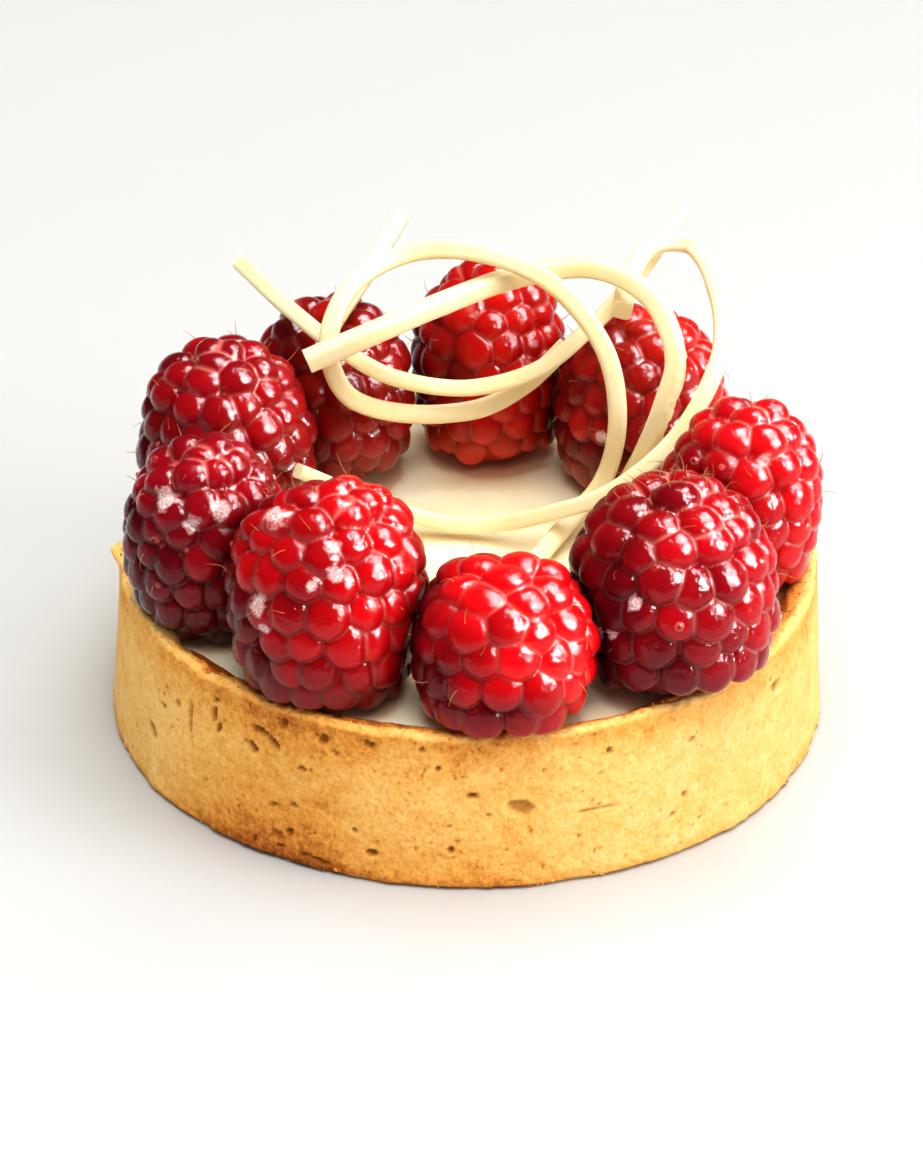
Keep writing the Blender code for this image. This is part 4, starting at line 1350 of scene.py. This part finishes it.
        # painted glow: each drupelet painted brighter on one side and darker on the other
        glow_share = across @ np.array(self.glow_side) / (berry.spread * berry.drupelet)
        flesh *= np.clip(1 + 0.25 * glow_share, 0.6, 1.4)[:, None]
        values = {
            "flesh": flesh,
            # pale seams and painted highlights, in the seams and round the bubbles
            "seam": np.clip(pale * (1 - crowded) + self.bubble_glint * outline, 0, 1),
            "frost": self.patched(berry.frost, world),
            "glazed": 1 - 0.9 * crowded,
        }
        piece = make_mesh(f"raspberry_{berry.number}_fruit", points, faces, material, values)
        install(piece, Slot.RASPBERRY, f"raspberry_{berry.number}")
        tips = placed @ berry.turn.T
        bead = berry.core_reach(placed) + berry.rise * sizes
        growing = np.flatnonzero(tips[:, 2] > -0.25)
        chosen = draw.choice(growing, min(self.hairs, len(growing)), replace=False)
        crown = draw.choice(np.flatnonzero(world[:, 2] > 0.84), berry.crown, replace=False)
        starts = np.concatenate([(berry.middle + tips * bead[:, None])[chosen], points[crown]])
        return starts, np.concatenate([tips[chosen], world[crown]])

    def hair_tubes(self, starts: np.ndarray, normals: np.ndarray,
                   seed: int) -> tuple[np.ndarray, np.ndarray]:
        """Thin, bent and tapered hairs.

        Args:
            starts: Where each hair leaves the fruit.
            normals: The fruit's outward direction there.
            seed: Seed of the hairs' bends.

        Returns:
            Points and quads.
        """
        draw = np.random.default_rng(seed)
        tube = ring_quads(self.hair_joints, self.hair_sides)
        top = (self.hair_joints - 1) * self.hair_sides
        tube = np.concatenate([tube, [(3, 2, 1, 0)], [(top, top + 1, top + 2, top + 3)]])
        points, quads = [], []
        for start, normal in zip(starts, normals):
            length = draw.uniform(*self.hair_lengths)
            lean = draw.normal(0, self.hair_lean, 3)
            curl = draw.normal(0, self.hair_curl, 3)
            quads.append(tube + len(points))
            for joint in range(self.hair_joints):
                share = joint / (self.hair_joints - 1)
                way = normal + lean * 0.8 + curl * share
                way = way / np.linalg.norm(way)
                spot = start - normal * self.hair_root + way * length * share
                across = np.cross(way, (0.3, 0.2, 0.93))
                across = across / np.linalg.norm(across)
                other = np.cross(way, across)
                thick = self.hair_radius * (1 - self.hair_taper * share)
                for side in range(self.hair_sides):
                    turn = tau * side / self.hair_sides
                    points.append(spot + thick * (across * cos(turn) + other * sin(turn)))
        return np.array(points), np.concatenate(quads)

    def build(self) -> None:
        """Build every berry, then all the hairs as one piece."""
        ways, faces = self.directions()
        material = self.finish.material()
        points, quads = [], []
        placed = 0
        for berry in self.berries:
            starts, normals = self.build_one(berry, ways, faces, material)
            tubes, joined = self.hair_tubes(starts, normals, berry.seed + 300)
            quads.append(joined + placed)
            points.append(tubes)
            placed += len(tubes)
        hairs = make_mesh("raspberry_hairs", np.concatenate(points), np.concatenate(quads),
                          self.hair_finish.material())
        install(hairs, Slot.RASPBERRY)


# ---------------------------------------------------------------- cream

@dataclass
class Filling:
    """The set cream, smooth on top and drawn up a little where it meets fruit and crust."""

    edge: float = 35.95          # its radius
    top: float = CREAM_TOP
    bottom: float = 3.3
    edge_drop: float = 0.55      # how far it rounds off beside the crust
    waves: tuple[tuple[float, float], ...] = ((0.06, 11.0), (0.03, 4.0))  # height and size
    drawn_up: float = 0.10       # how far it stands up round a berry
    stain_and_shade_share: float = 0.50        # how strongly juice and painted shade tint it there
    segments: int = 360
    rings: int = 90
    finish: SetCream = field(default_factory=SetCream)

    def build(self) -> bpy.types.Object:
        """Build the cream and dress it.

        Returns:
            The piece.
        """
        turn = np.linspace(0, tau, self.segments, endpoint=False)[None, :]
        share = np.sqrt(np.linspace(0.0002, 1, self.rings))[::-1][:, None]
        radius = self.edge * share * np.ones_like(turn)
        place = np.stack([radius * np.cos(turn), radius * np.sin(turn), 0 * radius], axis=-1)
        flat = place.reshape(-1, 3)
        rise = sum(height * value_noise(flat, size, seed)
                   for seed, (height, size) in enumerate(self.waves, start=8))
        near = np.min([np.hypot(flat[:, 0] - berry.x, flat[:, 1] - berry.y) - 0.80 * berry.radius
                       for berry in BERRIES], axis=0)
        near += 0.5 * value_noise(flat, 2.0, 10)
        rise += self.drawn_up * np.exp(-np.maximum(near, 0) / 0.8)
        rise -= self.edge_drop * smooth_step(
            np.hypot(flat[:, 0], flat[:, 1]), self.edge - 0.5, self.edge)
        top = flat + np.stack([0 * rise, 0 * rise, self.top + rise], axis=-1)
        low = np.stack([self.edge * np.cos(turn[0]), self.edge * np.sin(turn[0]),
                        np.full(self.segments, self.bottom)], axis=-1)
        points = np.concatenate([low, top])
        # juice stain, and painted shade where the cream meets the fruit
        stain_and_shade = self.stain_and_shade_share * np.exp(-np.maximum(near, 0) / 0.45)
        stain_and_shade = np.concatenate([np.zeros(self.segments), stain_and_shade])
        piece = make_mesh("set_cream", points, ring_quads(self.rings + 1, self.segments),
                          self.finish.material(), {"stain_and_shade": stain_and_shade})
        work = bmesh.new()
        work.from_mesh(piece.data)
        cap_ends(work, self.segments)
        for face in work.faces:
            face.smooth = len(face.verts) == 4
        work.to_mesh(piece.data)
        work.free()
        return install(piece, Slot.CREAM, "filling")


# ---------------------------------------------------------------- white chocolate

@dataclass(frozen=True)
class Strand:
    """One curled strand of white chocolate, square in section with softened edges."""

    number: int
    width: float                 # at its start
    end_width: float
    roll: float                  # how far its section is turned at its start, in degrees
    end_roll: float
    route: tuple[tuple[float, float, float], ...]
    rough_from: float = 2.0      # share of the length after which one side is rough


STRANDS = (
    # The long one that lies on the others, from its cut end over the middle and down on the right.
    Strand(1, 2.4, 2.2, 32, 12, (
        (-18.0, 4.4, 39.7), (-11.0, 6.2, 42.3), (-3.5, 11.6, 43.3), (5.5, 17.6, 44.0),
        (14.0, 17.8, 45.0), (20.3, 13.6, 43.1), (22.8, 9.4, 37.9), (21.6, 7.8, 33.0),
        (19.9, 8.6, 27.2), (18.1, 9.8, 22.2)), 0.74),
    # The upright loop that stands on the cream and leans back on the berries.
    Strand(2, 2.1, 2.2, 0, 0, (
        (7.3, -2.8, 18.7), (11.6, 6.6, 19.1), (15.1, 8.8, 22.8), (16.5, 8.0, 31.6),
        (14.8, 10.0, 39.0), (9.0, 13.4, 45.1), (0.9, 16.0, 47.6), (-6.9, 16.2, 47.4),
        (-13.2, 12.4, 45.2), (-15.7, 8.0, 40.6), (-14.0, 9.0, 33.6), (-7.9, 13.2, 28.8),
        (1.2, 15.9, 28.1), (5.8, 16.4, 30.6), (8.6, 17.1, 33.0), (10.9, 17.9, 35.2))),
    # The strand that dips to the cream, then climbs on the right and hooks over to the back.
    Strand(3, 1.7, 2.3, 0, 0, (
        (-18.9, 0.2, 28.3), (-8.8, 5.4, 20.9), (-0.4, 5.8, 18.4), (8.0, 3.6, 21.1),
        (15.9, 2.4, 25.0), (23.3, 6.2, 30.2), (27.9, 12.0, 37.3), (27.7, 21.6, 41.0),
        (25.0, 29.4, 42.5), (21.0, 28.6, 42.9), (17.9, 21.6, 42.0), (16.9, 15.8, 40.7))),
    # The shallow bow that lies on two of the back berries, its ends pointing away.
    Strand(4, 1.9, 1.9, 0, 0, (
        (-26.7, 36.0, 36.0), (-20.7, 20.0, 38.5), (-14.8, 11.4, 38.0), (-9.0, 11.4, 34.4),
        (0.0, 13.2, 32.1), (7.9, 14.2, 34.2), (13.2, 16.4, 38.0), (17.9, 24.8, 39.2),
        (24.6, 40.3, 41.5))),
    # The short one at the back.
    Strand(5, 2.0, 2.0, 0, 0, ((-8.2, 38.6, 41.3), (-12.2, 24.0, 40.5), (-15.3, 15.6, 39.0))),
)


@dataclass
class ChocolateCurls:
    """The strands of white chocolate, swept along their routes."""

    strands: tuple[Strand, ...] = STRANDS
    step: float = 0.4            # from one section to the next
    curve_steps: int = 48        # points worked out between two points of a route
    facing: tuple[float, float, float] = (0.0, -0.87, 0.5)   # the way that a flat side faces
    section: int = 28            # points round a section
    squareness: float = 4.2      # power of the rounded square: higher is sharper
    end_rings: int = 4           # rings in each cut end
    uneven: float = 0.025        # how far its sides wander
    gritty: float = 0.22         # how far a rough side does
    finish: WhiteChocolate = field(default_factory=WhiteChocolate)

    def smooth_route(self, route: Sequence[Sequence[float]]) -> np.ndarray:
        """Points at even steps along a smooth curve through a route.

        Args:
            route: The points that the strand goes through.

        Returns:
            One row a point.
        """
        knots = [Vector(p) for p in route]
        knots = [2 * knots[0] - knots[1], *knots, 2 * knots[-1] - knots[-2]]
        dense = []
        for before, start, end, after in zip(knots, knots[1:], knots[2:], knots[3:]):
            gaps = [(b - a).length ** 0.5 for a, b in ((before, start), (start, end), (end, after))]
            slope_in = (start - before) / gaps[0] - (end - before) / (gaps[0] + gaps[1])
            slope_in = (slope_in + (end - start) / gaps[1]) * gaps[1]
            slope_out = (end - start) / gaps[1] - (after - start) / (gaps[1] + gaps[2])
            slope_out = (slope_out + (after - end) / gaps[2]) * gaps[1]
            dense += [hermite(start, slope_in, end, slope_out, i / self.curve_steps)
                      for i in range(self.curve_steps)]
        dense.append(knots[-2])
        line = np.array(dense)
        lengths = np.concatenate([[0], np.cumsum(np.linalg.norm(np.diff(line, axis=0), axis=1))])
        marks = np.linspace(0, lengths[-1], round(lengths[-1] / self.step) + 1)
        return np.stack([np.interp(marks, lengths, line[:, axis]) for axis in range(3)], axis=1)

    def sweep(self, strand: Strand, path: np.ndarray) -> tuple[np.ndarray, np.ndarray]:
        """Sweep a strand's section along its route.

        Args:
            strand: The strand.
            path: Points at even steps along its route.

        Returns:
            Points by section and place in it, and how rough each is, from 0 to 1.
        """
        turns = np.linspace(0, tau, self.section, endpoint=False) + tau / 8
        corner = (np.abs(np.cos(turns)) ** self.squareness
                  + np.abs(np.sin(turns)) ** self.squareness) ** (-1 / self.squareness)
        flat = np.stack([np.cos(turns) * corner, np.sin(turns) * corner], axis=1)
        facing = Vector(self.facing)
        points, rough = [], []
        for i, middle in enumerate(path):
            along = Vector(path[min(i + 1, len(path) - 1)] - path[max(i - 1, 0)]).normalized()
            share = i / (len(path) - 1)
            roll = radians(strand.roll + (strand.end_roll - strand.roll) * share)
            half = (strand.width + (strand.end_width - strand.width) * share) / 2
            front = (facing - along * facing.dot(along)).normalized()
            front.rotate(Matrix.Rotation(roll, 3, along))
            side = np.array(along.cross(front))
            across = flat * half
            points.append(middle + across[:, :1] * side + across[:, 1:] * np.array(front))
            rough.append(float(share > strand.rough_from) * smooth_step(-flat[:, 0], 0.2, 0.8))
        return np.array(points), np.array(rough)

    def build_one(self, strand: Strand, material: bpy.types.Material) -> bpy.types.Object:
        """Build one strand.

        Args:
            strand: The strand.
            material: The chocolate.

        Returns:
            The piece.
        """
        path = self.smooth_route(strand.route)
        points, rough = self.sweep(strand, path)
        outward = points - path[:, None]
        outward = outward / np.linalg.norm(outward, axis=2)[..., None]
        flat_points = points.reshape(-1, 3)
        uneven = self.uneven * value_noise(flat_points, 2.5, strand.number)
        uneven += rough.ravel() * self.gritty * value_noise(flat_points, 0.5, strand.number + 9)
        points = points + outward * uneven.reshape(rough.shape)[..., None]
        closed = [k / self.end_rings for k in range(1, self.end_rings)]
        opening = [points[0] * (1 - k) + path[0] * k for k in reversed(closed)]
        closing = [points[-1] * (1 - k) + path[-1] * k for k in closed]
        stack = np.concatenate([np.array(opening), points, np.array(closing)])
        plain = np.zeros((len(closed), self.section))
        gritty = np.concatenate([plain, rough, plain])
        quads = ring_quads(len(stack), self.section)
        name = f"chocolate_strand_{strand.number}"
        piece = make_mesh(name, stack.reshape(-1, 3), quads, material, {"rough": gritty.ravel()})
        work = bmesh.new()
        work.from_mesh(piece.data)
        cap_ends(work, self.section)
        bmesh.ops.recalc_face_normals(work, faces=work.faces)
        work.to_mesh(piece.data)
        work.free()
        piece.data.set_sharp_from_angle(angle=radians(60))
        return install(piece, Slot.CHOCOLATE, f"chocolate_curl_{strand.number}")

    def build(self) -> None:
        """Build every strand."""
        material = self.finish.material()
        for strand in self.strands:
            self.build_one(strand, material)


# ---------------------------------------------------------------- crumbs and glaze

@dataclass
class Crumbs:
    """Loose crumbs that cling to the foot and the rim of the crust."""

    crust: Crust
    dough: bpy.types.Material    # the crust's own
    foot_count: int = 320
    rim_count: int = 260
    sizes: tuple[float, float] = (0.06, 0.16)
    seed: int = 21

    def build(self) -> bpy.types.Object:
        """Build all the crumbs as one piece.

        Returns:
            The piece.
        """
        draw = np.random.default_rng(self.seed)
        work = bmesh.new()
        bmesh.ops.create_icosphere(work, subdivisions=1, radius=1.0)
        ball = np.array([vert.co for vert in work.verts])
        sides = np.array([[vert.index for vert in face.verts] for face in work.faces])
        work.free()
        points, faces = [], []
        for number in range(self.foot_count + self.rim_count):
            angle = draw.uniform(0, 360)
            turn = radians(angle)
            size = draw.uniform(*self.sizes) * (1.4 if number % 9 == 0 else 1)
            height, outward, _ = (v[0] for v in self.crust.rim_shape(np.array([angle])))
            if number < self.foot_count:
                radius = self.crust.base_radius + draw.uniform(-0.3, 0.0)
                level = size * 1.7 + draw.uniform(0, 0.5)
            else:
                inset = draw.uniform(0.2, self.crust.slope_inset + 0.5)
                radius = self.crust.rim_radius + outward - inset
                level = height - 0.25 * max(inset - 1, 0) + size * 0.2
            shape = ball * size * draw.uniform(0.6, 1.3, (len(ball), 1)) * draw.uniform(0.6, 1.2, 3)
            faces.append(sides + number * len(ball))
            points.append(shape + np.array((radius * cos(turn), radius * sin(turn), level)))
        cloud = np.concatenate(points)
        values = {"browned_and_shaded": np.repeat(draw.uniform(0.1, 0.9, len(points)), len(ball)),
                  "pit": np.zeros(len(cloud)), "wet": np.zeros(len(cloud))}
        piece = make_mesh("crust_crumbs", cloud, np.concatenate(faces), self.dough, values)
        return install(piece, Slot.CRUST)


@dataclass(frozen=True)
class GlazeRun:
    """A stretch of glaze that has set between the fruit and the crust."""

    start: float                 # angle of its start
    end: float                   # angle of its end
    thickness: float
    inset: float = 0.0           # how far in from the shoulder it lies


@dataclass
class GlazeBeads:
    """Beads of set glaze along the shoulder of the rim."""

    crust: Crust
    runs: tuple[GlazeRun, ...] = (
        GlazeRun(214, 228, 0.5, 0.4), GlazeRun(224, 252, 0.6), GlazeRun(328, 352, 0.75, 0.2),
        GlazeRun(272, 284, 0.4), GlazeRun(298, 316, 0.5), GlazeRun(188, 204, 0.45))
    step: float = 0.5            # degrees from one section to the next
    sides: int = 12
    finish: FruitGlaze = field(default_factory=FruitGlaze)

    def build(self) -> bpy.types.Object:
        """Build every bead as one piece.

        Returns:
            The piece.
        """
        points, quads = [], []
        for run in self.runs:
            degrees = np.arange(run.start, run.end, self.step)
            _, _, inward = self.crust.rim_shape(degrees)
            share = np.sin(np.linspace(0, pi, len(degrees))) ** 0.5
            wander = value_noise(np.stack([degrees, 0 * degrees, 0 * degrees], axis=1), 3.0, 31)
            thick = run.thickness * share * (0.8 + 0.35 * wander) + 0.02
            radius = self.crust.inner_radius + 0.1 - np.maximum(inward, 0) * 0.6 - run.inset
            level = self.crust.shoulder - 0.1 - 0.25 * run.inset + 0.25 * wander
            tube = ring_quads(len(degrees), self.sides)[:, (0, 3, 2, 1)]
            quads.append(tube + len(points))
            for angle, size, reach, lift in zip(degrees, thick, radius, level):
                turn = radians(angle)
                for side in range(self.sides):
                    spin = tau * side / self.sides
                    out = reach + size * 1.1 * cos(spin)
                    points.append(
                        (out * cos(turn), out * sin(turn), lift + size * 0.6 * sin(spin)))
        piece = make_mesh("glaze_beads", np.array(points), np.concatenate(quads),
                          self.finish.material())
        return install(piece, Slot.RASPBERRY)


# ---------------------------------------------------------------- studio

class Seen(Enum):
    """What a softbox lights: matt surfaces, or only the mirror image in glossy ones."""

    BY_MATT = "matt"
    BY_GLOSS = "gloss"


@dataclass(frozen=True)
class Softbox:
    """A square softbox: where it hangs, in degrees and metres, and how bright it makes the tart."""

    name: str
    azimuth: float
    lift: float
    distance: float
    size: float
    share: float                 # light on a surface that faces it, as a share of white
    seen: Seen
    panes: int = 1               # panes along each side
    pane_share: float = 1.0      # how much of its pitch each pane takes up
    hollow: bool = False         # the middle pane is left out, where the lamp stands


SOFTBOXES = (
    Softbox("side", azimuth=-22, lift=28, distance=0.8, size=0.45, share=0.49,
            seen=Seen.BY_MATT),
    Softbox("front", azimuth=-90, lift=62, distance=0.9, size=0.5, share=0.43,
            seen=Seen.BY_MATT),
    Softbox("umbrella", azimuth=-20, lift=36, distance=0.8, size=0.50, share=6.4, panes=3,
            pane_share=0.84, hollow=True, seen=Seen.BY_GLOSS),
    Softbox("overhead", azimuth=20, lift=79, distance=1.0, size=0.9, share=1.16,
            seen=Seen.BY_MATT),
    Softbox("window", azimuth=38, lift=62, distance=0.8, size=0.46, share=2.8, panes=2,
            pane_share=0.82, seen=Seen.BY_GLOSS),
)


@dataclass
class Studio:
    """A white sweep, soft lights and the camera that looks down on the tart."""

    elevation: float = 30.0      # the camera looks down by this, in degrees
    roll: float = -0.7
    distance: float = 500.0      # from the camera to the tart
    aim_right: float = -0.70     # where it aims, from the centre of the crust's base
    aim_up: float = 13.1
    focal_px: float = 4400.0     # focal length in pixels of the picture
    long_side_px: int = 1154     # height of the picture
    sensor: float = 36.0         # height of the sensor
    softboxes: tuple[Softbox, ...] = SOFTBOXES
    fill: float = 0.48           # light from all round, as a share of white
    mirrored_fill: float = 0.03  # what a glossy surface mirrors of it
    aim_height: float = 0.02     # the softboxes aim this far above the floor, in metres
    gamma: float = 0.88          # below 1 deepens the shadows
    sweep_half: float = 3000.0   # half the width of the sweep
    sweep_level: float = -0.05
    finish: StudioSweep = field(default_factory=StudioSweep)

    def camera(self) -> None:
        """Place the camera."""
        lift, roll = radians(self.elevation), radians(self.roll)
        back = Vector((0, -cos(lift), sin(lift)))
        right = Vector((1, 0, 0))
        up = back.cross(right)
        spot = (back * self.distance + right * self.aim_right + up * self.aim_up) * MM
        across = right * cos(roll) - up * sin(roll)
        above = right * sin(roll) + up * cos(roll)
        data = bpy.data.cameras.new("camera")
        data.sensor_width = self.sensor
        data.lens = self.focal_px * self.sensor / self.long_side_px
        data.clip_start, data.clip_end = 0.01, 20.0
        camera = bpy.data.objects.new("camera", data)
        camera.matrix_world = Matrix((
            (across.x, above.x, back.x, spot.x), (across.y, above.y, back.y, spot.y),
            (across.z, above.z, back.z, spot.z), (0, 0, 0, 1)))
        bpy.context.scene.collection.objects.link(camera)
        bpy.context.scene.camera = camera

    def hang(self, softbox: Softbox) -> None:
        """Hang one softbox, or each pane of a softbox with panes, so that it faces the tart.

        Args:
            softbox: The softbox.
        """
        turn, rise = radians(softbox.azimuth), radians(softbox.lift)
        way = Vector((cos(rise) * cos(turn), cos(rise) * sin(turn), sin(rise)))
        facing = way.to_track_quat("Z", "Y")
        pitch = softbox.size / softbox.panes
        for row, column in itertools.product(range(softbox.panes), repeat=2):
            middle = (softbox.panes - 1) / 2
            if softbox.hollow and row == column == middle:
                continue
            data = bpy.data.lights.new(softbox.name, "AREA")
            data.energy = softbox.share * pi ** 2 * softbox.distance ** 2 / softbox.panes ** 2
            data.size = pitch * softbox.pane_share
            offset = Vector(((column - middle) * pitch, (row - middle) * pitch, 0))
            lamp = bpy.data.objects.new(softbox.name, data)
            lamp.location = (way * softbox.distance + facing @ offset
                             + Vector((0, 0, self.aim_height)))
            lamp.rotation_euler = facing.to_euler()
            lamp.visible_diffuse = softbox.seen is not Seen.BY_GLOSS
            lamp.visible_glossy = softbox.seen is not Seen.BY_MATT
            bpy.context.scene.collection.objects.link(lamp)

    def surroundings(self) -> None:
        """Fill the room with soft white light that gloss sees only faintly, as in a dark studio."""
        world = bpy.data.worlds.new("studio")
        world.use_nodes = True
        tree = world.node_tree
        tree.nodes.clear()
        mirrored = add_node(tree, "ShaderNodeLightPath").outputs["Is Glossy Ray"]
        strength = add_node(tree, "ShaderNodeMapRange", inputs={
            "Value": mirrored, "To Min": self.fill, "To Max": self.mirrored_fill})
        light = add_node(tree, "ShaderNodeBackground", inputs={
            "Color": (1.0, 1.0, 1.0, 1.0), "Strength": strength.outputs["Result"]})
        add_node(tree, "ShaderNodeOutputWorld", inputs={"Surface": light.outputs["Background"]})
        bpy.context.scene.world = world

    def build(self) -> None:
        """Build the sweep, the lights and the world."""
        half = self.sweep_half
        corners = np.array([(x, y, self.sweep_level) for x, y in (
            (-half, -half), (half, -half), (half, half), (-half, half))])
        sweep = make_mesh("studio_sweep", corners, np.array([[0, 1, 2, 3]]),
                          self.finish.material())
        for softbox in self.softboxes:
            self.hang(softbox)
        self.surroundings()
        settings = bpy.context.scene.view_settings
        settings.view_transform = "Standard"
        settings.look = "None"
        settings.exposure = 0.0
        settings.gamma = self.gamma


def main() -> None:
    """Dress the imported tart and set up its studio."""
    logging.basicConfig(level=logging.INFO, format="%(name)s %(message)s")
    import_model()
    studio = Studio()
    studio.camera()
    crust = Crust()
    case = crust.build()
    Filling().build()
    RaspberryRing().build()
    ChocolateCurls().build()
    Crumbs(crust, case.data.materials[0]).build()
    GlazeBeads(crust).build()
    studio.build()


if __name__ == "__main__":
    main()
